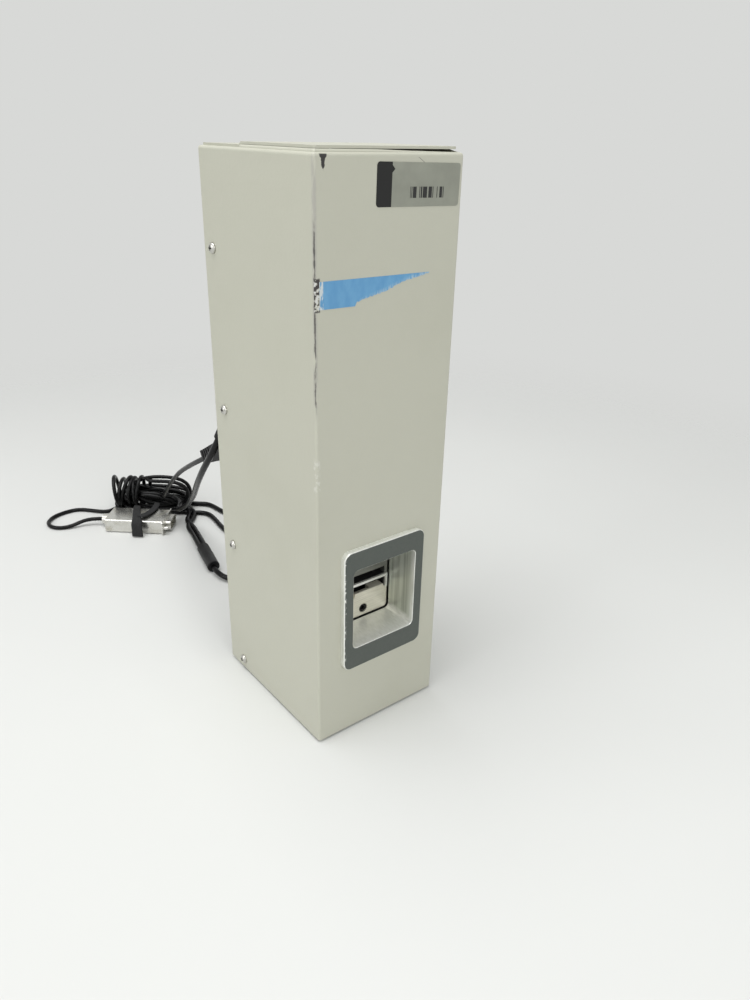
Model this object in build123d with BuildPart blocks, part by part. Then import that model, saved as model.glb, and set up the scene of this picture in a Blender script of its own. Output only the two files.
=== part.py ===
from build123d import *
from math import cos, pi, radians, sin, tan
import os

# Automated cell counter: a slim upright tower of folded steel sheet with a slide stage behind a
# machined bezel. The stage carries a counting slide to and fro under a focusing objective.
# Millimetres, +Z up, X to the right of the front, Y to the back.
# The origin is the middle of the tower's footprint, on the bench.

os.makedirs("parts", exist_ok=True)

# ---------------------------------------------------------------- driving dimensions
# tower
overall_width = 87.0
overall_depth = 104.4
overall_height = 320.6
sheet = 1.2
fold_radius = 1.6
foot_height = 1.6
foot_diameter = 11.0
foot_inset = 10.0
cover_gap = 0.2
cover_lip = 7.0
top_setback = 2.6
lid_rise = 1.4
lid_start = 13.0
rear_inset = 0.6
rear_flange = 20.0

# side screws
screw_heights = (8.2, 91.8, 179.7, 268.7)
screw_from_rear = (16.8, 11.5, 11.0, 9.2)
screw_shank = 3.0
screw_head = 5.8
screw_head_height = 2.1
thread_clearance = 0.04
hole_clearance = 0.2

# bezel and recess
bezel_width = 56.4
bezel_height = 76.4
bezel_bottom = 46.4
bezel_proud = 3.5
bezel_corner = 5.0
bezel_edge = 0.8
recess_width = 43.9
recess_height = 50.7
recess_bottom = 60.0
recess_corner = 3.0
recess_wall = 2.2
recess_depth = 19.6
cutout_clearance = 0.3
clamp_width = 5.5
clamp_depth = 9.0
clamp_thickness = 2.5
bezel_screw_x = 18.0
bezel_screw_rise = 4.6
bezel_screw_end = 1.3
bezel_screw_shank = 2.5
bezel_screw_head = 4.4

# stage
stage_gap = 0.85
stage_setback = 1.0
stage_corner = 2.2
block_depth = 6.0
block_top = 77.0
tray_bottom = 83.1
tray_thickness = 1.6
tray_proud = 1.2
gate_bottom = 89.0
gate_thickness = 4.0
gate_leg = 2.0
notch_width = 2.7
pocket_x = 3.5
pocket_width = 11.5
pocket_wall = 1.8
pocket_depth = 2.6
ear_width = 2.0
slide_width = 25.4
slide_clearance = 0.4
guide_height = 1.8
guide_width = 2.1
tray_back = 20.0
tray_neck = 35.0
optic_y = -6.0
window_width = 16.0
stage_travel_out = 4.0
stage_travel_in = 8.0
beam_length = 10.0
cap_screw_x = 3.2
cap_screw_z = 65.5
cap_head = 5.5
cap_head_height = 3.0
cap_shank = 3.0
counterbore_depth = 3.6
cap_thread = 5.5

# carriage, rods and stage drive
carriage_half_width = 26.0
carriage_bottom = 62.0
carriage_top = 69.0
carriage_back = 6.5
rod_diameter = 5.0
rod_x = 20.0
rod_z = 51.0
lug_width = 10.0
lug_front = -14.0
lug_back = 4.0
running_clearance = 0.04
screw_diameter = 5.0
stage_screw_x = -30.0
nut_barrel = 8.0
nut_flange = 12.0
nut_flange_thickness = 3.0
spacer_diameter = 5.0
motor_side = 20.0
motor_length = 28.0
motor_boss = 12.0
motor_boss_height = 1.5

# column and stage frame
column_front = 16.0
column_thickness = 4.0
column_width = 72.0
column_top = 296.0
column_foot = 14.0
column_foot_thickness = 4.0
column_screw_pitch = 48.0
frame_bottom = 40.0
frame_thickness = 4.0
frame_width = 70.0
cheek_front = -26.0
cheek_thickness = 4.0
cheek_top = 57.0

# lamp
lamp_diameter = 22.0
lamp_flange = 30.0
lamp_flange_thickness = 3.0
lamp_bottom = 12.0
lamp_top = 58.0
lamp_bore = 18.2
condenser_bore = 16.2
lamp_aperture = 13.0

# focus
rail_width = 7.0
rail_depth = 5.0
rail_bottom = 104.0
rail_top = 192.0
focus_travel = 3.0
focus_bottom = 118.0
focus_top = 142.0
focus_width = 36.0
focus_front = -24.0
objective_diameter = 20.0
nose_diameter = 12.0
nose_bottom = 94.0
nose_length = 12.0
objective_top = 150.0
focus_screw_x = 26.0
focus_screw_y = -2.0
bracket_bottom = 146.0
bracket_thickness = 3.0

# optical tube and camera
tube_diameter = 26.0
tube_bore = 22.0
tube_bottom = 156.0
tube_top = 236.0
clamp_bottom = 196.0
clamp_top = 212.0
camera_side = 38.0
camera_height = 36.0

# electronics
board_width = 62.0
board_bottom = 128.0
board_top = 242.0
board_thickness = 1.6
standoff_length = 6.0
standoff_width = 5.0
socket_x = -29.0
socket_z = 154.0
socket_width = 12.5
socket_height = 31.0
socket_screw_pitch = 25.0
post_length = 4.0
post_width = 4.8
shell_width = 8.4
shell_height = 17.0
inlet_x = 4.0
inlet_z = 38.0
switch_x = 25.0
switch_z = 40.0
switch_width = 13.0
switch_height = 19.0
rocker_throw = 18.0

# cords
hood_clearance = 0.3
hood_thickness = 14.0
snout_thickness = 11.0
signal_diameter = 3.4
supply_diameter = 4.2
hank_length = 76.0
hank_thickness = 30.0
hank_height = 35.0
hank_x = 6.5
hank_y = 297.0
hank_turn = -38.0
coil_x = 34.0
coil_y = 104.0
coil_radius = 23.0
coil_section = 9.2
coil_height = 12.8

# ---------------------------------------------------------------- places worked out from them
half_width = overall_width / 2
front_y = -overall_depth / 2
rear_y = overall_depth / 2
cover_top = overall_height - lid_rise - sheet
plate_top = cover_top + sheet
panel_out = rear_y - rear_inset
panel_in = panel_out - sheet
chassis_half = half_width - sheet - cover_gap
base_top = foot_height + sheet
recess_back = front_y + recess_depth
recess_mid = recess_bottom + recess_height / 2
stage_front = recess_back + stage_setback
stage_half = recess_width / 2 - stage_gap
shelf_half = stage_half - notch_width
slot_width = 2 * (stage_half - gate_leg)
stage_bottom = recess_bottom + stage_gap
stage_top = recess_bottom + recess_height - stage_gap
block_back = stage_front + block_depth
tray_top = tray_bottom + tray_thickness
tray_front = stage_front - tray_proud
column_back = column_front + column_thickness
motor_front = column_back
screw_places = [(rear_y - inwards, z) for inwards, z in zip(screw_from_rear, screw_heights)]
board_front = column_back + standoff_length
bezel_screw_z = recess_height / 2 + recess_wall + bezel_screw_rise
shell_proud = bezel_proud + rear_inset


def facing_front(y):
    """A sketch plane at depth y: local x is X, local y is Z, and its normal points to the front."""
    return Plane.XZ.offset(-y)


def facing_right(x):
    """A sketch plane at x: local x is Y, local y is Z, and its normal points to the right."""
    return Plane.YZ.offset(x)


def save(piece, name):
    piece.label = name
    export_step(piece, f"parts/{name}.step")


# ---------------------------------------------------------------- front cover: front and two sides
with BuildPart() as front_cover:
    with BuildSketch(Plane.XY.offset(foot_height)):
        Rectangle(overall_width, overall_depth)
    extrude(amount=cover_top - foot_height)
    front_folds = front_cover.edges().filter_by(Axis.Z).group_by(Axis.Y)[0]
    fillet(front_folds, fold_radius)
    roof = front_cover.faces().sort_by(Axis.Z)[-1]
    fillet(roof.edges().sort_by(Axis.Y)[:-1], fold_radius)
    # the hollow leaves one sheet in front, at the sides and under the rolled top edge
    with BuildSketch(Plane.XY.offset(foot_height)):
        with Locations((0, sheet)):
            Rectangle(overall_width - 2 * sheet, overall_depth)
    extrude(amount=cover_top - foot_height - sheet, mode=Mode.SUBTRACT)
    with BuildSketch(Plane.XY.offset(cover_top)):
        with Locations((0, cover_lip)):
            Rectangle(overall_width - 2 * cover_lip, overall_depth)
    extrude(amount=-2 * sheet, mode=Mode.SUBTRACT)
    # opening for the recess of the bezel
    with BuildSketch(facing_front(front_y)):
        with Locations((0, recess_mid)):
            RectangleRounded(
                recess_width + 2 * (recess_wall + cutout_clearance),
                recess_height + 2 * (recess_wall + cutout_clearance),
                recess_corner + recess_wall,
            )
    extrude(amount=-2 * sheet, both=False, mode=Mode.SUBTRACT)
    # bezel screw holes, two above and two below the recess
    with BuildSketch(facing_front(front_y)):
        with Locations((0, recess_mid)):
            with GridLocations(2 * bezel_screw_x, 2 * bezel_screw_z, 2, 2):
                Circle(bezel_screw_shank / 2 + hole_clearance / 2)
    extrude(amount=-2 * sheet, mode=Mode.SUBTRACT)
    # side screw holes
    with BuildSketch(facing_right(-half_width)):
        with Locations(*screw_places):
            Circle(screw_shank / 2 + hole_clearance)
    extrude(amount=overall_width, mode=Mode.SUBTRACT)
save(front_cover.part, "front_cover")

# ---------------------------------------------------------------- chassis: top, back and base
with BuildPart() as chassis:
    back_width = 2 * chassis_half
    back_top = cover_top - sheet - cover_gap
    top_width = overall_width - 2 * top_setback
    neck_width = overall_width - 2 * cover_lip - 2 * cover_gap
    # base
    with BuildSketch(Plane.XY.offset(foot_height)):
        base_depth = panel_out - (front_y + sheet + cover_gap)
        with Locations((0, panel_out - base_depth / 2)):
            Rectangle(back_width, base_depth)
    extrude(amount=sheet)
    # back, necked where it passes between the cover's top lips
    with BuildSketch(facing_front(panel_out)):
        with Locations((0, (foot_height + back_top) / 2)):
            Rectangle(back_width, back_top - foot_height)
        with Locations((0, (back_top + plate_top) / 2)):
            Rectangle(neck_width, plate_top - back_top)
    extrude(amount=sheet)
    # top, laid over the cover's lips behind and stepped up above them in front
    top_front = front_y + top_setback
    with BuildSketch(facing_right(-top_width / 2)):
        with BuildLine():
            Polyline(
                (panel_out, cover_top),
                (panel_out, plate_top),
                (lid_start + lid_rise, plate_top),
                (lid_start, overall_height),
                (top_front, overall_height),
                (top_front, overall_height - sheet),
                (lid_start - sheet / 2, overall_height - sheet),
                (lid_start + lid_rise - sheet / 2, cover_top),
                close=True,
            )
        make_face()
    extrude(amount=top_width)
    lid_edges = chassis.edges().filter_by(Axis.Z).filter_by(lambda edge: edge.center().Z > cover_top)
    fillet(lid_edges.group_by(Axis.Y)[0], 1.5)
    # side flanges that the side screws bite into
    with BuildSketch(Plane.XY.offset(foot_height)):
        for side in (-1, 1):
            with Locations((side * (chassis_half - sheet / 2), panel_out - rear_flange / 2)):
                Rectangle(sheet, rear_flange)
    extrude(amount=back_top - foot_height)
    back_folds = chassis.edges().filter_by(Axis.Z).group_by(Axis.Y)[-1]
    fillet(back_folds.filter_by(lambda edge: edge.length > overall_height / 2), sheet * 0.9)
    # side screw threads
    with BuildSketch(facing_right(-half_width)):
        with Locations(*screw_places):
            Circle(screw_shank / 2 + thread_clearance)
    extrude(amount=overall_width, mode=Mode.SUBTRACT)
    # rear sockets and the power switch
    with BuildSketch(facing_front(rear_y)):
        with Locations((socket_x, socket_z)):
            Rectangle(shell_width + 2 * hood_clearance, shell_height + 2 * hood_clearance)
        with Locations((inlet_x, inlet_z)):
            Circle(5.5 + hole_clearance)
        with Locations((switch_x, switch_z)):
            Rectangle(switch_width + hole_clearance, switch_height + hole_clearance)
        with Locations((socket_x, socket_z)):
            with GridLocations(0, socket_screw_pitch, 1, 2):
                Circle(1.6)
    extrude(amount=4 * sheet, mode=Mode.SUBTRACT)
    # ventilation slots high on the back
    with BuildSketch(facing_front(rear_y)):
        with Locations((0, 278)):
            with GridLocations(8.0, 0, 6, 1):
                SlotOverall(24, 3, rotation=90)
    extrude(amount=4 * sheet, mode=Mode.SUBTRACT)
    # column screw holes in the base
    with BuildSketch(Plane.XY.offset(foot_height)):
        with GridLocations(column_screw_pitch, 0, 2, 1):
            with Locations((0, column_back + column_foot / 2)):
                Circle(2.0 + thread_clearance)
    extrude(amount=sheet, mode=Mode.SUBTRACT)
save(chassis.part, "chassis")

# ---------------------------------------------------------------- feet: four rubber pads
with BuildPart() as feet:
    foot_x = chassis_half - foot_inset
    foot_y = rear_y - foot_inset - 2 * sheet
    with BuildSketch():
        with GridLocations(2 * foot_x, 2 * foot_y, 2, 2):
            Circle(foot_diameter / 2)
    extrude(amount=foot_height)
save(feet.part, "feet")


# ---------------------------------------------------------------- side screws, four to a side
def side_screws(side, name):
    """Pan-head screws through one side of the cover into the chassis flange."""
    with BuildPart() as screws:
        with BuildSketch(facing_right(side * half_width)):
            with Locations(*screw_places):
                Circle(screw_head / 2)
        extrude(amount=side * screw_head_height)
        rims = screws.edges().filter_by(GeomType.CIRCLE).group_by(Axis.X)[-1 if side > 0 else 0]
        chamfer(rims, 0.8)
        with BuildSketch(facing_right(side * half_width)):
            with Locations(*screw_places):
                Circle(screw_shank / 2)
        extrude(amount=-side * (2 * sheet + cover_gap + 3.0))
        # cross drive
        with BuildSketch(facing_right(side * (half_width + screw_head_height))):
            with Locations(*screw_places):
                Rectangle(2.6, 0.7)
                Rectangle(0.7, 2.6)
        extrude(amount=-side * 1.0, mode=Mode.SUBTRACT)
    save(screws.part, name)


side_screws(-1, "side_screws_left")
side_screws(1, "side_screws_right")

# ---------------------------------------------------------------- bezel: flange and recess in one
with BuildPart() as bezel:
    with BuildSketch(facing_front(front_y)):
        with Locations((0, bezel_bottom + bezel_height / 2)):
            RectangleRounded(bezel_width, bezel_height, bezel_corner)
    extrude(amount=bezel_proud)
    face_rim = bezel.faces().sort_by(Axis.Y)[0].edges()
    fillet(face_rim, bezel_edge)
    with BuildSketch(facing_front(front_y)):
        with Locations((0, recess_mid)):
            RectangleRounded(
                recess_width + 2 * recess_wall, recess_height + 2 * recess_wall, recess_corner + recess_wall
            )
    extrude(amount=-recess_depth)
    with BuildSketch(facing_front(front_y - bezel_proud)):
        with Locations((0, recess_mid)):
            RectangleRounded(recess_width, recess_height, recess_corner)
    extrude(amount=-(bezel_proud + recess_depth), mode=Mode.SUBTRACT)
    mouth = bezel.edges().filter_by_position(Axis.Y, front_y - bezel_proud - 0.01, front_y - bezel_proud + 0.01)
    chamfer(mouth.filter_by(lambda edge: abs(edge.center().X) < recess_width / 2 + 0.1
            and recess_bottom - 0.1 < edge.center().Z < recess_bottom + recess_height + 0.1), 0.35)
    # blind threads for the clamp frame's screws
    with BuildSketch(facing_front(front_y)):
        with Locations((0, recess_mid)):
            with GridLocations(2 * bezel_screw_x, 2 * bezel_screw_z, 2, 2):
                Circle(bezel_screw_shank / 2 + thread_clearance)
    extrude(amount=bezel_proud - bezel_screw_end + running_clearance, mode=Mode.SUBTRACT)
save(bezel.part, "bezel")

# ---------------------------------------------------------------- frame that clamps the bezel from inside
with BuildPart() as bezel_clamp:
    clamp_front = front_y + sheet
    with BuildSketch(facing_front(clamp_front)):
        with Locations((0, recess_mid)):
            RectangleRounded(
                recess_width + 2 * (recess_wall + clamp_width),
                recess_height + 2 * (recess_wall + clamp_depth),
                recess_corner + recess_wall,
            )
            RectangleRounded(
                recess_width + 2 * (recess_wall + cutout_clearance),
                recess_height + 2 * (recess_wall + cutout_clearance),
                recess_corner + recess_wall,
                mode=Mode.SUBTRACT,
            )
            with GridLocations(2 * bezel_screw_x, 2 * bezel_screw_z, 2, 2):
                Circle(bezel_screw_shank / 2 + hole_clearance / 2, mode=Mode.SUBTRACT)
    extrude(amount=-clamp_thickness)
save(bezel_clamp.part, "bezel_clamp")

with BuildPart() as bezel_screws:
    clamp_back = front_y + sheet + clamp_thickness
    with BuildSketch(facing_front(clamp_back)):
        with Locations((0, recess_mid)):
            with GridLocations(2 * bezel_screw_x, 2 * bezel_screw_z, 2, 2):
                Circle(bezel_screw_head / 2)
    extrude(amount=-1.8)
    with BuildSketch(facing_front(clamp_back)):
        with Locations((0, recess_mid)):
            with GridLocations(2 * bezel_screw_x, 2 * bezel_screw_z, 2, 2):
                Circle(bezel_screw_shank / 2)
    extrude(amount=clamp_thickness + sheet + bezel_proud - bezel_screw_end)
save(bezel_screws.part, "bezel_screws")

# ---------------------------------------------------------------- stage block: lower front of the stage
with BuildPart() as stage_block:
    notch_z = block_top - 1.6
    with BuildSketch(facing_front(stage_front)):
        with BuildLine():
            Polyline(
                (-stage_half, stage_bottom),
                (stage_half, stage_bottom),
                (stage_half, notch_z),
                (shelf_half, notch_z),
                (shelf_half, block_top),
                (-shelf_half, block_top),
                (-shelf_half, notch_z),
                (-stage_half, notch_z),
                close=True,
            )
        make_face()
    extrude(amount=-block_depth)
    fillet(stage_block.edges().filter_by(Axis.Y).group_by(Axis.Z)[0], stage_corner)
    chamfer(stage_block.faces().sort_by(Axis.Y)[0].edges().group_by(Axis.Z)[-1], 0.4)
    # pocket in the shelf, seen under the tray, and a small relief beside it
    with BuildSketch(Plane.XY.offset(block_top)):
        with Locations((pocket_x, stage_front + pocket_wall + block_depth / 2)):
            Rectangle(pocket_width, block_depth)
        with Locations((-4.2, stage_front + 1.0)):
            Rectangle(2.0, 2.0)
    extrude(amount=-pocket_depth, mode=Mode.SUBTRACT)
    with BuildSketch(facing_front(stage_front)):
        with Locations((cap_screw_x, cap_screw_z)):
            Circle(cap_head / 2 + hole_clearance)
    extrude(amount=-counterbore_depth, mode=Mode.SUBTRACT)
    with BuildSketch(facing_front(stage_front)):
        with Locations((cap_screw_x, cap_screw_z)):
            Circle(cap_shank / 2 + hole_clearance)
    extrude(amount=-block_depth, mode=Mode.SUBTRACT)
save(stage_block.part, "stage_block")

with BuildPart() as stage_cap_screw:
    seat = stage_front + counterbore_depth
    with BuildSketch(facing_front(seat)):
        with Locations((cap_screw_x, cap_screw_z)):
            Circle(cap_head / 2)
    extrude(amount=cap_head_height)
    with BuildSketch(facing_front(seat - cap_head_height)):
        with Locations((cap_screw_x, cap_screw_z)):
            RegularPolygon(1.25, 6, major_radius=False)
    extrude(amount=-1.6, mode=Mode.SUBTRACT)
    with BuildSketch(facing_front(seat)):
        with Locations((cap_screw_x, cap_screw_z)):
            Circle(cap_shank / 2)
    extrude(amount=-(block_depth - counterbore_depth + cap_thread))
save(stage_cap_screw.part, "stage_cap_screw")

# ---------------------------------------------------------------- slide tray: folded sheet with front lip and ears
with BuildPart() as slide_tray:
    bar_back = stage_front + 6.0
    with BuildSketch(Plane.XY.offset(tray_bottom)):
        with Locations((0, (tray_front + bar_back) / 2)):
            Rectangle(2 * stage_half, bar_back - tray_front)
        with Locations((0, (bar_back + tray_back) / 2)):
            Rectangle(tray_neck, tray_back - bar_back)
    extrude(amount=tray_thickness)
    # ears folded down at the ends of the lip, standing in the block's corner notches
    with BuildSketch(facing_front(tray_front)):
        for side in (-1, 1):
            with Locations((side * (stage_half - ear_width / 2), (tray_top + notch_z) / 2)):
                Rectangle(ear_width, tray_top - notch_z)
    extrude(amount=-(tray_proud + tray_thickness + 1.6))
    front_corners = slide_tray.edges().filter_by(Axis.Z).group_by(Axis.Y)[0]
    fillet(front_corners.group_by(Axis.X)[0] + front_corners.group_by(Axis.X)[-1], 1.0)
    # light window, long enough for the beam over the whole travel
    window_front = optic_y - stage_travel_in - beam_length / 2
    window_back = optic_y + stage_travel_out + beam_length / 2
    with BuildSketch(Plane.XY.offset(tray_bottom)):
        with Locations((0, (window_front + window_back) / 2)):
            RectangleRounded(window_width, window_back - window_front, 2.0)
    extrude(amount=tray_thickness, mode=Mode.SUBTRACT)
save(slide_tray.part, "slide_tray")

with BuildPart() as slide_guides:
    guide_in = slide_width / 2 + slide_clearance / 2
    with BuildSketch(Plane.XY.offset(tray_top)):
        guide_front = stage_front + gate_thickness + 0.4
        for side in (-1, 1):
            with Locations((side * (guide_in + guide_width / 2), (guide_front + tray_back - 1) / 2)):
                Rectangle(guide_width, tray_back - 1 - guide_front)
        with Locations((0, tray_back - 2)):
            Rectangle(2 * (guide_in + guide_width), 2.0)
    extrude(amount=guide_height)
save(slide_guides.part, "slide_guides")

# ---------------------------------------------------------------- slide gate: upper front of the stage
with BuildPart() as slide_gate:
    with BuildSketch(facing_front(stage_front)):
        with Locations((0, (tray_top + stage_top) / 2)):
            Rectangle(2 * stage_half, stage_top - tray_top)
        with Locations((0, (tray_top + gate_bottom) / 2)):
            Rectangle(slot_width, gate_bottom - tray_top, mode=Mode.SUBTRACT)
    extrude(amount=-gate_thickness)
    fillet(slide_gate.edges().filter_by(Axis.Y).group_by(Axis.Z)[-1], stage_corner)
    slot_lips = slide_gate.edges().filter_by(Axis.X).filter_by_position(Axis.Z, gate_bottom - 0.01, gate_bottom + 0.01)
    chamfer(slot_lips.sort_by(Axis.Y)[0], 0.6)
save(slide_gate.part, "slide_gate")

# ---------------------------------------------------------------- stage carriage on two guide rods
with BuildPart() as stage_carriage:
    with BuildSketch(Plane.XY.offset(carriage_bottom)):
        with Locations((0, (block_back + carriage_back) / 2)):
            Rectangle(2 * carriage_half_width, carriage_back - block_back)
    extrude(amount=carriage_top - carriage_bottom)
    with BuildSketch(Plane.XY.offset(rod_z - lug_width / 2)):
        with Locations((rod_x, (lug_front + lug_back) / 2)):
            Rectangle(lug_width, lug_back - lug_front)
        nut_side = stage_screw_x - lug_width / 2 - 1
        lug_right = -rod_x + lug_width / 2
        with Locations(((nut_side + lug_right) / 2, (lug_front + lug_back) / 2)):
            Rectangle(lug_right - nut_side, lug_back - lug_front)
    extrude(amount=carriage_top - (rod_z - lug_width / 2))
    with BuildSketch(Plane.XY.offset(carriage_top)):
        with Locations((0, (window_front + window_back) / 2)):
            RectangleRounded(window_width, window_back - window_front, 2.0)
    extrude(amount=-(carriage_top - carriage_bottom), mode=Mode.SUBTRACT)
    with BuildSketch(facing_front(lug_back)):
        with Locations((-rod_x, rod_z), (rod_x, rod_z)):
            Circle(rod_diameter / 2 + running_clearance)
        with Locations((stage_screw_x, rod_z)):
            Circle(nut_barrel / 2 + thread_clearance)
    extrude(amount=lug_back - lug_front, mode=Mode.SUBTRACT)
    with BuildSketch(facing_front(block_back)):
        with Locations((cap_screw_x, cap_screw_z)):
            Circle(cap_shank / 2 + thread_clearance)
    extrude(amount=-(cap_thread + hole_clearance), mode=Mode.SUBTRACT)
save(stage_carriage.part, "stage_carriage")

with BuildPart() as tray_spacers:
    spacer_front = window_front + 1.0
    with BuildSketch(Plane.XY.offset(carriage_top)):
        with Locations((0, (spacer_front + 3.0) / 2)):
            with GridLocations(30.0, 3.0 - spacer_front, 2, 2):
                Circle(spacer_diameter / 2)
    extrude(amount=tray_bottom - carriage_top)
save(tray_spacers.part, "tray_spacers")

with BuildPart() as stage_nut:
    with BuildSketch(facing_front(lug_front)):
        with Locations((stage_screw_x, rod_z)):
            Circle(nut_flange / 2)
    extrude(amount=nut_flange_thickness)
    with BuildSketch(facing_front(lug_front)):
        with Locations((stage_screw_x, rod_z)):
            Circle(nut_barrel / 2)
    extrude(amount=-12.0)
    with BuildSketch(facing_front(lug_front - nut_flange_thickness)):
        with Locations((stage_screw_x, rod_z)):
            Circle(screw_diameter / 2 + running_clearance)
    extrude(amount=-20.0, mode=Mode.SUBTRACT)
save(stage_nut.part, "stage_nut")

# ---------------------------------------------------------------- stage frame, guide rods, lead screw, motor
with BuildPart() as stage_frame:
    with BuildSketch(Plane.XY.offset(frame_bottom)):
        with Locations((0, (cheek_front + column_front) / 2)):
            Rectangle(frame_width, column_front - cheek_front)
        with Locations((0, optic_y)):
            Circle(lamp_diameter / 2 + cutout_clearance, mode=Mode.SUBTRACT)
    extrude(amount=frame_thickness)
    with BuildSketch(Plane.XY.offset(frame_bottom)):
        with Locations((0, cheek_front + cheek_thickness / 2)):
            Rectangle(frame_width, cheek_thickness)
    extrude(amount=cheek_top - frame_bottom)
    with BuildSketch(facing_front(cheek_front)):
        with Locations((-rod_x, rod_z), (rod_x, rod_z)):
            Circle(rod_diameter / 2 + running_clearance)
        with Locations((stage_screw_x, rod_z)):
            Circle(screw_diameter / 2 + running_clearance)
    extrude(amount=-cheek_thickness, mode=Mode.SUBTRACT)
save(stage_frame.part, "stage_frame")

with BuildPart() as guide_rods:
    with BuildSketch(facing_front(cheek_front)):
        with Locations((-rod_x, rod_z), (rod_x, rod_z)):
            Circle(rod_diameter / 2)
    extrude(amount=-(column_back - 0.5 - cheek_front))
save(guide_rods.part, "guide_rods")

with BuildPart() as stage_screw:
    with BuildSketch(facing_front(cheek_front + 0.5)):
        with Locations((stage_screw_x, rod_z)):
            Circle(screw_diameter / 2)
    extrude(amount=-(column_back + 3.0 - cheek_front - 0.5))
save(stage_screw.part, "stage_screw")

with BuildPart() as stage_motor:
    with BuildSketch(facing_front(motor_front)):
        with Locations((stage_screw_x, rod_z)):
            Rectangle(motor_side, motor_side)
        chamfer(vertices(), 2.5)
    extrude(amount=-motor_length)
    with BuildSketch(facing_front(motor_front)):
        with Locations((stage_screw_x, rod_z)):
            Circle(motor_boss / 2)
    extrude(amount=motor_boss_height)
    with BuildSketch(facing_front(motor_front - motor_boss_height)):
        with Locations((stage_screw_x, rod_z)):
            Circle(screw_diameter / 2 + running_clearance)
    extrude(amount=-(motor_boss_height + 4.0), mode=Mode.SUBTRACT)
save(stage_motor.part, "stage_motor")

# ---------------------------------------------------------------- column: upright plate that carries the optics
with BuildPart() as column_plate:
    with BuildSketch(facing_front(column_front)):
        with Locations((0, (base_top + column_top) / 2)):
            Rectangle(column_width, column_top - base_top)
        # the tray runs through here, and the cables pass above
        with Locations((0, tray_top)):
            RectangleRounded(tray_neck + 6.0, 12.0, 2.0, mode=Mode.SUBTRACT)
        with Locations((-rod_x, rod_z), (rod_x, rod_z)):
            Circle(rod_diameter / 2 + running_clearance, mode=Mode.SUBTRACT)
        with Locations((stage_screw_x, rod_z)):
            Circle(motor_boss / 2 + running_clearance, mode=Mode.SUBTRACT)
    extrude(amount=-column_thickness)
    with BuildSketch(Plane.XY.offset(base_top)):
        with Locations((0, column_back + column_foot / 2)):
            Rectangle(column_width, column_foot)
            with GridLocations(column_screw_pitch, 0, 2, 1):
                Circle(2.0 + hole_clearance, mode=Mode.SUBTRACT)
    extrude(amount=column_foot_thickness)
    fillet(column_plate.edges().filter_by(Axis.Y).group_by(Axis.Z)[-1], 6.0)
save(column_plate.part, "column_plate")

with BuildPart() as column_screws:
    screw_seat = base_top + column_foot_thickness
    with BuildSketch(Plane.XY.offset(screw_seat)):
        with Locations((0, column_back + column_foot / 2)):
            with GridLocations(column_screw_pitch, 0, 2, 1):
                Circle(3.5)
    extrude(amount=4.0)
    with BuildSketch(Plane.XY.offset(screw_seat + 4.0)):
        with Locations((0, column_back + column_foot / 2)):
            with GridLocations(column_screw_pitch, 0, 2, 1):
                RegularPolygon(1.5, 6, major_radius=False)
    extrude(amount=-2.2, mode=Mode.SUBTRACT)
    with BuildSketch(Plane.XY.offset(screw_seat)):
        with Locations((0, column_back + column_foot / 2)):
            with GridLocations(column_screw_pitch, 0, 2, 1):
                Circle(2.0)
    extrude(amount=-(column_foot_thickness + sheet - 0.1))
save(column_screws.part, "column_screws")

# ---------------------------------------------------------------- lamp under the stage
with BuildPart() as lamp_housing:
    board_seat = lamp_bottom + 4.0
    with BuildSketch(Plane.XY.offset(lamp_bottom)):
        with Locations((0, optic_y)):
            Circle(lamp_diameter / 2)
    extrude(amount=lamp_top - lamp_bottom)
    with BuildSketch(Plane.XY.offset(frame_bottom - lamp_flange_thickness)):
        with Locations((0, optic_y)):
            Circle(lamp_flange / 2)
    extrude(amount=lamp_flange_thickness)
    with BuildSketch(Plane.XY.offset(lamp_bottom)):
        with Locations((0, optic_y)):
            Circle(lamp_bore / 2)
    extrude(amount=34.0, mode=Mode.SUBTRACT)
    with BuildSketch(Plane.XY.offset(lamp_bottom)):
        with Locations((0, optic_y)):
            Circle(lamp_aperture / 2)
    extrude(amount=lamp_top - lamp_bottom, mode=Mode.SUBTRACT)
    with BuildSketch(Plane.XY.offset(lamp_top - 8.0)):
        with Locations((0, optic_y)):
            Circle(condenser_bore / 2)
    extrude(amount=8.0, mode=Mode.SUBTRACT)
    chamfer(lamp_housing.faces().sort_by(Axis.Z)[-1].edges().sort_by(SortBy.LENGTH)[-1], 0.8)
save(lamp_housing.part, "lamp_housing")

with BuildPart() as lamp_cap:
    with BuildSketch(Plane.XY.offset(lamp_bottom - 2.0)):
        with Locations((0, optic_y)):
            Circle(lamp_diameter / 2)
    extrude(amount=2.0)
    with BuildSketch(Plane.XY.offset(lamp_bottom)):
        with Locations((0, optic_y)):
            Circle(lamp_bore / 2 - running_clearance)
    extrude(amount=board_seat - lamp_bottom)
save(lamp_cap.part, "lamp_cap")

with BuildPart() as led_board:
    with BuildSketch(Plane.XY.offset(board_seat)):
        with Locations((0, optic_y)):
            Circle(lamp_bore / 2 - running_clearance)
    extrude(amount=board_thickness)
    with BuildSketch(Plane.XY.offset(board_seat + board_thickness)):
        with Locations((0, optic_y)):
            Circle(2.5)
    extrude(amount=6.0)
    fillet(led_board.faces().sort_by(Axis.Z)[-1].edges(), 2.2)
save(led_board.part, "led_board")

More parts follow.
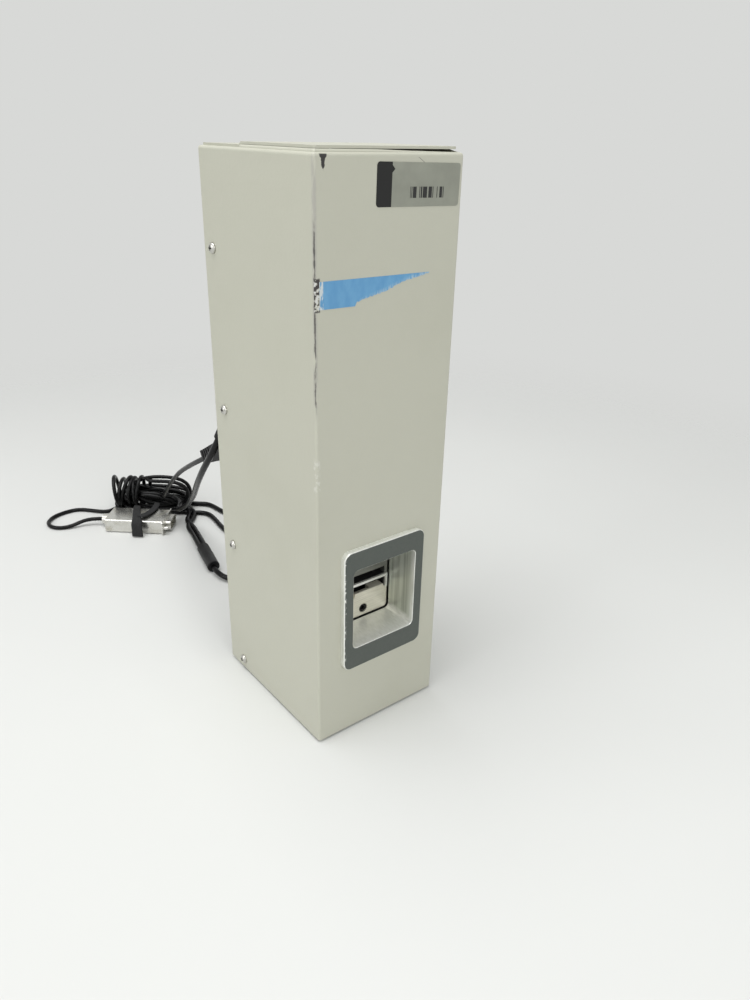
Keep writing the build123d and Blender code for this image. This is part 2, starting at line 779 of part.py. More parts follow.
with BuildPart() as condenser_lens:
    lens_radius = condenser_bore / 2 - running_clearance
    lens_edge = 2.0
    lens_crown = 2.6
    lens_base = lamp_top - 8.0
    with BuildSketch(Plane.XY.offset(lens_base)):
        with Locations((0, optic_y)):
            Circle(lens_radius)
    extrude(amount=lens_edge + lens_crown)
    dome = (lens_radius**2 + lens_crown**2) / (2 * lens_crown)
    with Locations((0, optic_y, lens_base + lens_edge + lens_crown - dome)):
        Sphere(dome, mode=Mode.INTERSECT)
save(condenser_lens.part, "condenser_lens")

# ---------------------------------------------------------------- focus slide, its rail and its drive
with BuildPart() as focus_rail:
    with BuildSketch(Plane.XY.offset(rail_bottom)):
        with Locations((0, column_front - rail_depth / 2)):
            Rectangle(rail_width, rail_depth)
    extrude(amount=rail_top - rail_bottom)
    with BuildSketch(facing_front(column_front - rail_depth)):
        with Locations((0, (rail_bottom + rail_top) / 2)):
            with GridLocations(0, 15.0, 1, 5):
                Circle(2.1)
    extrude(amount=-2.4, mode=Mode.SUBTRACT)
save(focus_rail.part, "focus_rail")

with BuildPart() as focus_carriage:
    carriage_rear = column_front - 1.5
    focus_ear = focus_screw_x + 6.0
    with BuildSketch(Plane.XY.offset(focus_bottom)):
        with Locations((0, (focus_front + carriage_rear) / 2)):
            RectangleRounded(focus_width, carriage_rear - focus_front, 3.0)
        with Locations((0, optic_y)):
            Circle(objective_diameter / 2 + thread_clearance, mode=Mode.SUBTRACT)
        with Locations((0, column_front - rail_depth / 2)):
            Rectangle(rail_width + 2 * running_clearance, rail_depth + 2 * running_clearance, mode=Mode.SUBTRACT)
    extrude(amount=focus_top - focus_bottom)
    with BuildSketch(Plane.XY.offset(focus_bottom + 4.0)):
        with Locations(((focus_width / 2 - 2 + focus_ear) / 2, focus_screw_y)):
            RectangleRounded(focus_ear - focus_width / 2 + 2, 14.0, 1.9)
    extrude(amount=11.0)
    with BuildSketch(Plane.XY.offset(focus_bottom)):
        with Locations((focus_screw_x, focus_screw_y)):
            Circle(nut_barrel / 2 + thread_clearance)
        # pinch slot of the objective clamp
        with Locations((0, focus_front)):
            Rectangle(1.6, 2 * (optic_y - focus_front - objective_diameter / 2 + 1))
    extrude(amount=focus_top - focus_bottom, mode=Mode.SUBTRACT)
save(focus_carriage.part, "focus_carriage")

with BuildPart() as focus_nut:
    nut_seat = focus_bottom + 15.0
    with BuildSketch(Plane.XY.offset(nut_seat)):
        with Locations((focus_screw_x, focus_screw_y)):
            Circle(nut_flange / 2)
    extrude(amount=nut_flange_thickness)
    with BuildSketch(Plane.XY.offset(nut_seat)):
        with Locations((focus_screw_x, focus_screw_y)):
            Circle(nut_barrel / 2)
    extrude(amount=-12.0)
    with BuildSketch(Plane.XY.offset(nut_seat - 14.0)):
        with Locations((focus_screw_x, focus_screw_y)):
            Circle(screw_diameter / 2 + running_clearance)
    extrude(amount=20.0, mode=Mode.SUBTRACT)
save(focus_nut.part, "focus_nut")

with BuildPart() as focus_bracket:
    bracket_left = tube_diameter / 2 + 1.4
    bracket_right = focus_screw_x + motor_side / 2 + 2.0
    with BuildSketch(Plane.XY.offset(bracket_bottom)):
        with Locations(((bracket_left + bracket_right) / 2, (focus_screw_y - 12.0 + column_front) / 2)):
            Rectangle(bracket_right - bracket_left, column_front - focus_screw_y + 12.0)
        with Locations((focus_screw_x, focus_screw_y)):
            Circle(motor_boss / 2 + running_clearance, mode=Mode.SUBTRACT)
    extrude(amount=bracket_thickness)
    # upright leg against the column, cut back beside the motor
    with BuildSketch(Plane.XY.offset(bracket_bottom - 14.0)):
        with Locations(((bracket_left + bracket_right) / 2 + 2, column_front - bracket_thickness / 2)):
            Rectangle(bracket_right - bracket_left - 4, bracket_thickness)
    extrude(amount=14.0)
save(focus_bracket.part, "focus_bracket")

with BuildPart() as focus_motor:
    motor_base = bracket_bottom + bracket_thickness
    with BuildSketch(Plane.XY.offset(motor_base)):
        with Locations((focus_screw_x, focus_screw_y)):
            Rectangle(motor_side, motor_side)
        chamfer(vertices(), 2.5)
    extrude(amount=motor_length)
    with BuildSketch(Plane.XY.offset(motor_base)):
        with Locations((focus_screw_x, focus_screw_y)):
            Circle(motor_boss / 2)
    extrude(amount=-motor_boss_height)
    with BuildSketch(Plane.XY.offset(motor_base - motor_boss_height)):
        with Locations((focus_screw_x, focus_screw_y)):
            Circle(screw_diameter / 2 + running_clearance)
    extrude(amount=motor_boss_height + 4.0, mode=Mode.SUBTRACT)
save(focus_motor.part, "focus_motor")

with BuildPart() as focus_screw:
    with BuildSketch(Plane.XY.offset(focus_bottom - 4.0)):
        with Locations((focus_screw_x, focus_screw_y)):
            Circle(screw_diameter / 2)
    extrude(amount=motor_base + 3.0 - focus_bottom + 4.0)
save(focus_screw.part, "focus_screw")

# ---------------------------------------------------------------- objective: turned barrel and front lens
with BuildPart() as objective:
    barrel = objective_diameter / 2
    nose = nose_diameter / 2
    shoulder = nose_bottom + nose_length
    with BuildSketch(Plane.XZ.offset(-optic_y)):
        with BuildLine():
            Polyline(
                (3.0, nose_bottom + 1.2),
                (4.5, nose_bottom + 1.2),
                (4.5, nose_bottom),
                (nose - 0.8, nose_bottom),
                (nose, nose_bottom + 0.8),
                (nose, shoulder - 4.0),
                (barrel, shoulder + 2.0),
                (barrel, objective_top),
                (barrel - 2.5, objective_top),
                (barrel - 2.5, shoulder + 6.0),
                (3.0, shoulder),
                close=True,
            )
        make_face()
    revolve(axis=Axis((0, optic_y, 0), (0, 0, 1)))
save(objective.part, "objective")

with BuildPart() as objective_lens:
    with BuildSketch(Plane.XY.offset(nose_bottom + 0.3)):
        with Locations((0, optic_y)):
            Circle(4.5 - running_clearance)
    extrude(amount=0.9)
save(objective_lens.part, "objective_lens")

# ---------------------------------------------------------------- optical tube, its lens and clamp, camera
with BuildPart() as optical_tube:
    with BuildSketch(Plane.XY.offset(tube_bottom)):
        with Locations((0, optic_y)):
            Circle(tube_diameter / 2)
            Circle(tube_bore / 2, mode=Mode.SUBTRACT)
    extrude(amount=tube_top - tube_bottom)
    with BuildSketch(Plane.XY.offset(tube_bottom + 18.0)):
        with Locations((0, optic_y)):
            Circle(tube_diameter / 2)
            Circle(tube_bore / 2 - 2.0, mode=Mode.SUBTRACT)
    extrude(amount=2.0)
save(optical_tube.part, "optical_tube")

with BuildPart() as tube_lens:
    with BuildSketch(Plane.XY.offset(tube_bottom + 20.0)):
        with Locations((0, optic_y)):
            Circle(tube_bore / 2 - running_clearance)
    extrude(amount=4.0)
save(tube_lens.part, "tube_lens")

with BuildPart() as tube_clamp:
    clamp_front_y = optic_y - tube_diameter / 2 - 5.0
    with BuildSketch(Plane.XY.offset(clamp_bottom)):
        with Locations((0, (clamp_front_y + column_front) / 2)):
            RectangleRounded(tube_diameter + 12.0, column_front - clamp_front_y, 3.0)
        with Locations((0, optic_y)):
            Circle(tube_diameter / 2 + thread_clearance, mode=Mode.SUBTRACT)
        with Locations((0, clamp_front_y)):
            Rectangle(1.6, 12.0, mode=Mode.SUBTRACT)
    extrude(amount=clamp_top - clamp_bottom)
save(tube_clamp.part, "tube_clamp")

with BuildPart() as camera:
    with BuildSketch(Plane.XY.offset(tube_top + 4.0)):
        with Locations((0, optic_y)):
            RectangleRounded(camera_side, camera_side, 3.0)
    extrude(amount=camera_height)
    with BuildSketch(Plane.XY.offset(tube_top)):
        with Locations((0, optic_y)):
            Circle(tube_diameter / 2 + 2.0)
    extrude(amount=4.0)
    chamfer(camera.faces().sort_by(Axis.Z)[-1].edges(), 1.2)
    # cooling grooves round the body
    for z in (tube_top + 14.0, tube_top + 20.0, tube_top + 26.0):
        with BuildSketch(Plane.XY.offset(z)):
            with Locations((0, optic_y)):
                Rectangle(camera_side, camera_side)
                Rectangle(camera_side - 3.0, camera_side - 3.0, mode=Mode.SUBTRACT)
        extrude(amount=2.0, mode=Mode.SUBTRACT)
save(camera.part, "camera")

with BuildPart() as camera_bracket:
    camera_rear = optic_y + camera_side / 2
    with BuildSketch(facing_front(camera_rear)):
        with Locations((0, tube_top + 4.0 + camera_height / 2)):
            Rectangle(26.0, 28.0)
    extrude(amount=-(column_front - camera_rear))
save(camera_bracket.part, "camera_bracket")

# ---------------------------------------------------------------- electronics behind the column
with BuildPart() as board_standoffs:
    with BuildSketch(facing_front(column_back)):
        with Locations((0, (board_bottom + board_top) / 2)):
            with GridLocations(board_width - 10.0, board_top - board_bottom - 10.0, 2, 2):
                RegularPolygon(standoff_width / 2, 6, major_radius=False)
    extrude(amount=-standoff_length)
save(board_standoffs.part, "board_standoffs")

with BuildPart() as control_board:
    board_back = board_front + board_thickness
    with BuildSketch(facing_front(board_front)):
        with Locations((0, (board_bottom + board_top) / 2)):
            Rectangle(board_width, board_top - board_bottom)
    extrude(amount=-board_thickness)
    for x, z, wide, tall, high in (
        (8.0, 205.0, 18.0, 18.0, 1.6),
        (-14.0, 212.0, 10.0, 14.0, 1.4),
        (10.0, 172.0, 30.0, 8.0, 7.0),
        (-10.0, 184.0, 8.0, 6.0, 1.4),
        (22.0, 150.0, 8.0, 12.0, 6.0),
    ):
        with BuildSketch(facing_front(board_back)):
            with Locations((x, z)):
                Rectangle(wide, tall)
        extrude(amount=-high)
save(control_board.part, "control_board")

# ---------------------------------------------------------------- rear sockets and the power switch
with BuildPart() as data_socket:
    with BuildSketch(facing_front(panel_in)):
        with Locations((socket_x, socket_z)):
            Rectangle(socket_width, socket_height)
            with GridLocations(0, socket_screw_pitch, 1, 2):
                Circle(1.6, mode=Mode.SUBTRACT)
    extrude(amount=1.2)
    with BuildSketch(facing_front(panel_in)):
        with Locations((socket_x, socket_z)):
            Rectangle(socket_width - 2.0, socket_height - 12.0)
    extrude(amount=9.0)
    # the shell stands out through the panel
    with BuildSketch(facing_front(panel_in)):
        with Locations((socket_x, socket_z)):
            RectangleRounded(shell_width, shell_height, 2.0)
    extrude(amount=-(sheet + shell_proud))
    with BuildSketch(facing_front(panel_out + shell_proud)):
        with Locations((socket_x, socket_z)):
            RectangleRounded(shell_width - 1.4, shell_height - 1.4, 1.4)
    extrude(amount=shell_proud, mode=Mode.SUBTRACT)
save(data_socket.part, "data_socket")

with BuildPart() as socket_posts:
    with BuildSketch(facing_front(panel_out)):
        with Locations((socket_x, socket_z)):
            with GridLocations(0, socket_screw_pitch, 1, 2):
                RegularPolygon(post_width / 2, 6, major_radius=False)
    extrude(amount=-post_length)
    with BuildSketch(facing_front(panel_out)):
        with Locations((socket_x, socket_z)):
            with GridLocations(0, socket_screw_pitch, 1, 2):
                Circle(1.5)
    extrude(amount=sheet + 5.0)
    with BuildSketch(facing_front(panel_out + post_length)):
        with Locations((socket_x, socket_z)):
            with GridLocations(0, socket_screw_pitch, 1, 2):
                Circle(1.2)
    extrude(amount=post_length - 0.6, mode=Mode.SUBTRACT)
save(socket_posts.part, "socket_posts")

with BuildPart() as power_inlet:
    with BuildSketch(facing_front(panel_out)):
        with Locations((inlet_x, inlet_z)):
            Circle(7.5)
    extrude(amount=-1.6)
    with BuildSketch(facing_front(panel_out)):
        with Locations((inlet_x, inlet_z)):
            Circle(5.5)
    extrude(amount=sheet + 12.0)
    with BuildSketch(facing_front(panel_out + 1.6)):
        with Locations((inlet_x, inlet_z)):
            Circle(3.2)
            Circle(1.0, mode=Mode.SUBTRACT)
    extrude(amount=11.0, mode=Mode.SUBTRACT)
save(power_inlet.part, "power_inlet")

with BuildPart() as power_switch:
    rim = 1.6
    with BuildSketch(facing_front(panel_out)):
        with Locations((switch_x, switch_z)):
            RectangleRounded(switch_width + 2 * rim, switch_height + 2 * rim, 1.5)
    extrude(amount=-2.0)
    with BuildSketch(facing_front(panel_out)):
        with Locations((switch_x, switch_z)):
            Rectangle(switch_width, switch_height)
    extrude(amount=sheet + 14.0)
    well_width = switch_width - 2.4
    well_height = switch_height - 2.4
    with BuildSketch(facing_front(panel_out + 2.0)):
        with Locations((switch_x, switch_z)):
            Rectangle(well_width, well_height)
    extrude(amount=10.0, mode=Mode.SUBTRACT)
    # pivot holes in the side walls
    pivot_y = panel_out - 1.5
    with BuildSketch(facing_right(switch_x - switch_width / 2)):
        with Locations((pivot_y, switch_z)):
            Circle(1.0 + running_clearance)
    extrude(amount=switch_width, mode=Mode.SUBTRACT)
save(power_switch.part, "power_switch")

with BuildPart() as power_rocker:
    rocker_half = well_height / 2 - 1.6
    rocker_width = well_width - 0.6
    tilt = radians(rocker_throw / 2)
    rocker_side = Plane(
        origin=(switch_x - rocker_width / 2, pivot_y, switch_z),
        x_dir=(0, cos(tilt), sin(tilt)),
        z_dir=(1, 0, 0),
    )
    # pressed at the top: the joint's travel swings it to the other side
    with BuildSketch(rocker_side):
        with BuildLine():
            Polyline(
                (-4.0, 0),
                (0, -rocker_half),
                (4.2, -rocker_half),
                (2.6, 0),
                (4.2, rocker_half),
                (0, rocker_half),
                close=True,
            )
        make_face()
    extrude(amount=rocker_width)
    with BuildSketch(facing_right(switch_x - switch_width / 2 + 0.3)):
        with Locations((pivot_y, switch_z)):
            Circle(1.0)
    extrude(amount=switch_width - 0.6)
save(power_rocker.part, "power_rocker")

# ---------------------------------------------------------------- cords, their hood, hank, coil and plugs
hank_along = Vector(cos(radians(hank_turn)), sin(radians(hank_turn)), 0)
hank_across = Vector(-sin(radians(hank_turn)), cos(radians(hank_turn)), 0)
hank_middle = Vector(hank_x, hank_y, 0)
signal_rest = signal_diameter / 2 + 0.05
supply_rest = supply_diameter / 2 + 0.1
snout_end = Vector(socket_x, 95.9, 129.6)
snout_way = Vector(0, 0.871, -0.491).normalized()
boot_length = 12.0
boot_end = Vector(-38.6, 60.5, 155.5)
boot_way = Vector(-0.189, 0.433, -0.882).normalized()
plug_way = Vector(0.753, -0.657, 0).normalized()
plug_side = Vector(0.657, 0.753, 0).normalized()
plug_height = 6.3
plug_start = Vector(-42.3, 291.4, plug_height)
barrel_diameter = 10.0
barrel_rest = barrel_diameter / 2 + 0.1
barrel_front = Vector(-1.6, 160.0, barrel_rest)
barrel_back = Vector(6.0, 194.0, barrel_rest)


def hank_point(along, across, z):
    """A point in the hank's own directions, measured from its middle."""
    place = hank_middle + hank_along * along + hank_across * across
    return (place.X, place.Y, z)


def cord_tube(name, route, diameter):
    """A round cord along straight runs joined by tangent arcs; its length and radii are printed."""
    points = [Vector(*point) for point in route]
    runs = [(after - before).length for before, after in zip(points, points[1:])]
    radii = []
    for spot in range(1, len(points) - 1):
        turn = (points[spot] - points[spot - 1]).get_angle(points[spot + 1] - points[spot])
        radii.append(0.45 * min(runs[spot - 1], runs[spot]) / tan(radians(turn) / 2))
    with BuildPart() as tube:
        with BuildLine() as path:
            FilletPolyline(*points, radius=radii)
        start = Plane(origin=points[0], z_dir=points[1] - points[0])
        with BuildSketch(start):
            Circle(diameter / 2)
        sweep(path=path.wire())
    length = sum(edge.length for edge in path.edges())
    fullness = tube.part.volume / (pi * diameter**2 / 4 * length)
    print(name, "length", round(length, 1), "radii", [round(radius, 1) for radius in radii])
    print("   volume over section times length", round(fullness, 4))
    return tube.part


with BuildPart() as data_hood:
    hood_front = panel_out + hood_clearance
    hood_left = socket_x - hood_thickness / 2
    with BuildSketch(facing_right(hood_left)):
        with BuildLine():
            Polyline(
                (hood_front, socket_z - 15.5),
                (hood_front, socket_z + 15.5),
                (60.0, socket_z + 15.5),
                (63.5, socket_z),
                (66.7, socket_z - 2.0),
                (66.6, socket_z - 16.3),
                close=True,
            )
        make_face()
        fillet(vertices().group_by(Axis.Y)[-1].sort_by(Axis.X)[-1], 3.0)
    extrude(amount=hood_thickness)
    with BuildSketch(facing_right(socket_x - snout_thickness / 2)):
        with BuildLine():
            Polyline(
                (62.0, socket_z - 15.8),
                (62.0, socket_z - 0.4),
                (66.7, socket_z - 2.0),
                (98.1, 133.5),
                (93.7, 125.7),
                (66.6, socket_z - 16.3),
                close=True,
            )
        make_face()
    extrude(amount=snout_thickness)
    # grooves of the moulded strain relief
    groove_way = Plane(origin=snout_end, x_dir=(1, 0, 0), z_dir=snout_way)
    for step in (2.6, 6.0, 9.4, 12.8):
        with BuildSketch(groove_way.offset(-step)):
            Rectangle(snout_thickness + 4.0, 24.0)
            Rectangle(snout_thickness - 2.4, 30.0, mode=Mode.SUBTRACT)
        extrude(amount=-1.5, mode=Mode.SUBTRACT)
    # boot on the left side, for the second cord
    with BuildSketch(Plane(origin=boot_end, z_dir=boot_way)):
        Circle(3.2)
    extrude(amount=-boot_length)
    # wells that take the shell and the two posts
    with BuildSketch(facing_front(hood_front)):
        with Locations((socket_x, socket_z)):
            RectangleRounded(shell_width + 2 * hood_clearance, shell_height + 2 * hood_clearance, 2.2)
    extrude(amount=-(shell_proud + hood_clearance), mode=Mode.SUBTRACT)
    with BuildSketch(facing_front(hood_front)):
        with Locations((socket_x, socket_z)):
            with GridLocations(0, socket_screw_pitch, 1, 2):
                RegularPolygon(post_width / 2 + hood_clearance, 6, major_radius=False)
    extrude(amount=-post_length, mode=Mode.SUBTRACT)
save(data_hood.part, "data_hood")

signal_cord_drop = cord_tube(
    "signal_cord_drop",
    [
        snout_end,
        (snout_end + snout_way * 14),
        (-27.2, 132.0, 109.6),
        (-22.6, 162.0, 92.8),
        (-15.0, 196.0, 70.8),
        (-6.0, 229.0, 49.2),
        hank_point(20, -hank_thickness / 2 - 20, 28.0),
        hank_point(20, -hank_thickness / 2, 28.0),
    ],
    signal_diameter,
)
save(signal_cord_drop, "signal_cord_drop")

with BuildPart() as cord_hank:
    with BuildSketch(Plane.XY.offset(0.2)):
        with Locations(Location((hank_x, hank_y), hank_turn)):
            Rectangle(hank_length, hank_thickness)
    extrude(amount=hank_height)
    chamfer(cord_hank.faces().sort_by(Axis.Z)[-1].edges(), 5.0)
save(cord_hank.part, "cord_hank")

signal_cord_tail = cord_tube(
    "signal_cord_tail",
    [
        hank_point(-hank_length / 2, -3, 6.0),
        hank_point(-hank_length / 2 - 9, -3, 6.0),
        (-50.0, 334.0, signal_rest),
        (-63.0, 334.0, signal_rest),
        (-76.0, 330.0, signal_rest),
        (-84.0, 319.5, signal_rest),
        (-81.5, 307.5, signal_rest),
        (-70.0, 301.5, signal_rest),
        (plug_start - plug_way * 14),
        plug_start,
    ],
    signal_diameter,
)
save(signal_cord_tail, "signal_cord_tail")

with BuildPart() as signal_plug:
    collar_length = 6.0
    body_length = 51.0
    body_width = 26.0
    body_start = plug_start + plug_way * collar_length
    with BuildSketch(Plane(origin=plug_start, x_dir=plug_side, z_dir=plug_way)):
        Circle(4.6)
    extrude(amount=collar_length, taper=-3)
    with BuildSketch(Plane(origin=body_start, x_dir=plug_side, z_dir=plug_way)):
        RectangleRounded(body_width, 2 * plug_height - 0.6, 1.5)
    extrude(amount=body_length)
save(signal_plug.part, "signal_plug")

with BuildPart() as signal_plug_face:
    flange_width = 30.8
    flange_start = body_start + plug_way * body_length
    with BuildSketch(Plane(origin=flange_start, x_dir=plug_side, z_dir=plug_way)):
        RectangleRounded(flange_width, 2 * plug_height - 0.02, 1.5)
    extrude(amount=1.0)
    with BuildSketch(Plane(origin=flange_start, x_dir=plug_side, z_dir=plug_way)):
        RectangleRounded(shell_height, shell_width, 2.0)
    extrude(amount=6.0)
    with BuildSketch(Plane(origin=flange_start + plug_way * 6.0, x_dir=plug_side, z_dir=plug_way)):
        RectangleRounded(shell_height - 1.2, shell_width - 1.2, 1.4)
    extrude(amount=-4.8, mode=Mode.SUBTRACT)
    for side in (-1, 1):
        screw_start = flange_start + plug_side * (side * 12.5)
        with BuildSketch(Plane(origin=screw_start, x_dir=plug_side, z_dir=plug_way)):
            Circle(1.5)
        extrude(amount=5.0)
save(signal_plug_face.part, "signal_plug_face")

supply_cord_drop = cord_tube(
    "supply_cord_drop",
    [
        boot_end,
        (boot_end + boot_way * 12),
        (-41.0, 78.0, 131.5),
        (-39.0, 92.0, 117.7),
        (-33.5, 110.0, 103.5),
        (-24.0, 136.0, 84.8),
        (-12.0, 168.0, 65.3),
        (2.0, 203.0, 46.5),
        (12.0, 231.0, 28.5),
        hank_point(30, -hank_thickness / 2 - 16, 14.0),
        hank_point(30, -hank_thickness / 2, 14.0),
    ],
    supply_diameter,
)
save(supply_cord_drop, "supply_cord_drop")

supply_cord_bight = cord_tube(
    "supply_cord_bight",
    [
        hank_point(hank_length / 2, -10, supply_rest),
        hank_point(hank_length / 2 + 15, -10, supply_rest),
        (41.5, 241.0, supply_rest),
        (39.3, 226.0, supply_rest),
        (38.5, 212.0, supply_rest),
        (41.0, 198.0, supply_rest),
        (48.5, 187.5, supply_rest),
        (62.0, 186.0, supply_rest),
        (72.5, 195.5, supply_rest),
        (72.5, 210.0, supply_rest),
        (64.0, 223.0, supply_rest),
        (57.5, 237.0, supply_rest),
        (54.0, 254.0, supply_rest),
        hank_point(hank_length / 2 + 13, 9, supply_rest),
        hank_point(hank_length / 2, 9, supply_rest),
    ],
    supply_diameter,
)
save(supply_cord_bight, "supply_cord_bight")

# two leads lie side by side from the hank into the back of the barrel
barrel_way = (barrel_front - barrel_back).normalized()
barrel_side = Vector(-barrel_way.Y, barrel_way.X, 0)
lead_spread = supply_diameter / 2 + 0.05
left_lead_end = barrel_back - barrel_side * lead_spread
right_lead_end = barrel_back + barrel_side * lead_spread
left_lead = cord_tube(
    "left lead",
    [
        hank_point(30, -hank_thickness / 2, supply_rest),
        hank_point(30, -hank_thickness / 2 - 10, supply_rest),
        (14.9, 243.0, supply_rest),
        (12.0, 225.0, supply_rest),
        left_lead_end - barrel_way * 15,
        left_lead_end,
    ],
    supply_diameter,
)
right_lead = cord_tube(
    "right lead",
    [
        hank_point(36, -hank_thickness / 2, supply_rest),
        hank_point(36, -hank_thickness / 2 - 10, supply_rest),
        (19.4, 243.0, supply_rest),
        (16.4, 225.0, supply_rest),
        right_lead_end - barrel_way * 15,
        right_lead_end,
    ],
    supply_diameter,
)
save(Compound([left_lead, right_lead]), "supply_cord_run")

with BuildPart() as supply_barrel:
    barrel_length = (barrel_front - barrel_back).length
    with BuildSketch(Plane(origin=barrel_back, z_dir=barrel_way)):
        Circle(barrel_diameter / 2)
    extrude(amount=barrel_length)
    chamfer(supply_barrel.edges().filter_by(GeomType.CIRCLE), 0.6)
save(supply_barrel.part, "supply_barrel")

supply_cord_lead = cord_tube(
    "supply_cord_lead",
    [
        barrel_front,
        barrel_front + barrel_way * 10,
        (0.5, 137.5, 3.0),
        (14.0, 131.5, supply_rest),
        (28.0, 129.6, supply_rest),
    ],
    supply_diameter,
)
save(supply_cord_lead, "supply_cord_lead")

with BuildPart() as supply_coil:
    with BuildSketch(Plane.XY.offset(0.1)):
        with Locations((coil_x, coil_y)):
            Circle(coil_radius + coil_section / 2)
            Circle(coil_radius - coil_section / 2, mode=Mode.SUBTRACT)
    extrude(amount=coil_height)
    chamfer(supply_coil.edges().filter_by(GeomType.CIRCLE), 1.8)
save(supply_coil.part, "supply_coil")

supply_plug_base = Vector(coil_x - 30.0, 72.6, 5.6)
supply_cord_end = cord_tube(
    "supply_cord_end",
    [
        (coil_x - 1.0, coil_y - coil_radius - 2.5, 9.4),
        (coil_x - 9.5, 77.2, 8.4),
        (coil_x - 19.0, 74.5, 5.6),
        supply_plug_base,
    ],
    supply_diameter,
)
save(supply_cord_end, "supply_cord_end")

with BuildPart() as supply_plug:
    plug_heading = (supply_plug_base - Vector(coil_x - 19.0, 74.5, 5.6)).normalized()
    with BuildSketch(Plane(origin=supply_plug_base, z_dir=plug_heading)):
        Circle(3.4)
    with BuildSketch(Plane(origin=supply_plug_base + plug_heading * 10.0, z_dir=plug_heading)):
        Circle(5.4)
    loft()
    with BuildSketch(Plane(origin=supply_plug_base + plug_heading * 10.0, z_dir=plug_heading)):
        Circle(5.4)
    extrude(amount=18.0)
    with BuildSketch(Plane(origin=supply_plug_base + plug_heading * 28.0, z_dir=plug_heading)):
        Circle(3.2)
        Circle(1.0, mode=Mode.SUBTRACT)
    extrude(amount=-9.0, mode=Mode.SUBTRACT)
save(supply_plug.part, "supply_plug")
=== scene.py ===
from math import cos, pi, radians, sin

import bpy
import numpy as np
from mathutils import Matrix


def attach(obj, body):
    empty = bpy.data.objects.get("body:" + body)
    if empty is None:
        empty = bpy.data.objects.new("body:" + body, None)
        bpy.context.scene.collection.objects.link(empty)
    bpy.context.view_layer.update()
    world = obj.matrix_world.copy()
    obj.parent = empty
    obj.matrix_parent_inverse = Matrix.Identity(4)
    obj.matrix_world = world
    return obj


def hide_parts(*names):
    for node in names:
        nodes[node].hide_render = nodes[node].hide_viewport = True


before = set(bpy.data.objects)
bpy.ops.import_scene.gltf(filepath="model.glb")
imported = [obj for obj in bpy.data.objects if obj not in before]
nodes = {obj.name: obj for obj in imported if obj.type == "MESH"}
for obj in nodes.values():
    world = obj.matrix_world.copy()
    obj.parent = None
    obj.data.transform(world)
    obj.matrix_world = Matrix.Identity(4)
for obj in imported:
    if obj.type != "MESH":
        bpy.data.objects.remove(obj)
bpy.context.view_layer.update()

scene = bpy.context.scene
scene.view_settings.view_transform = "Standard"

# ---------------------------------------------------------------- viewpoint
# The counter is seen from its front left and from a little above its lid, at arm's length.
viewpoint = bpy.data.objects.new("viewpoint", bpy.data.cameras.new("viewpoint"))
viewpoint.data.lens = 28.1
to_the_right = (0.788, -0.6153, 0.0223)
upwards = (0.2478, 0.3502, 0.9033)
backwards = (-0.5636, -0.7063, 0.4284)
turned = Matrix((to_the_right, upwards, backwards)).transposed().to_4x4()
viewpoint.matrix_world = Matrix.Translation((-0.24104, -0.34676, 0.32686)) @ turned
scene.collection.objects.link(viewpoint)
scene.camera = viewpoint


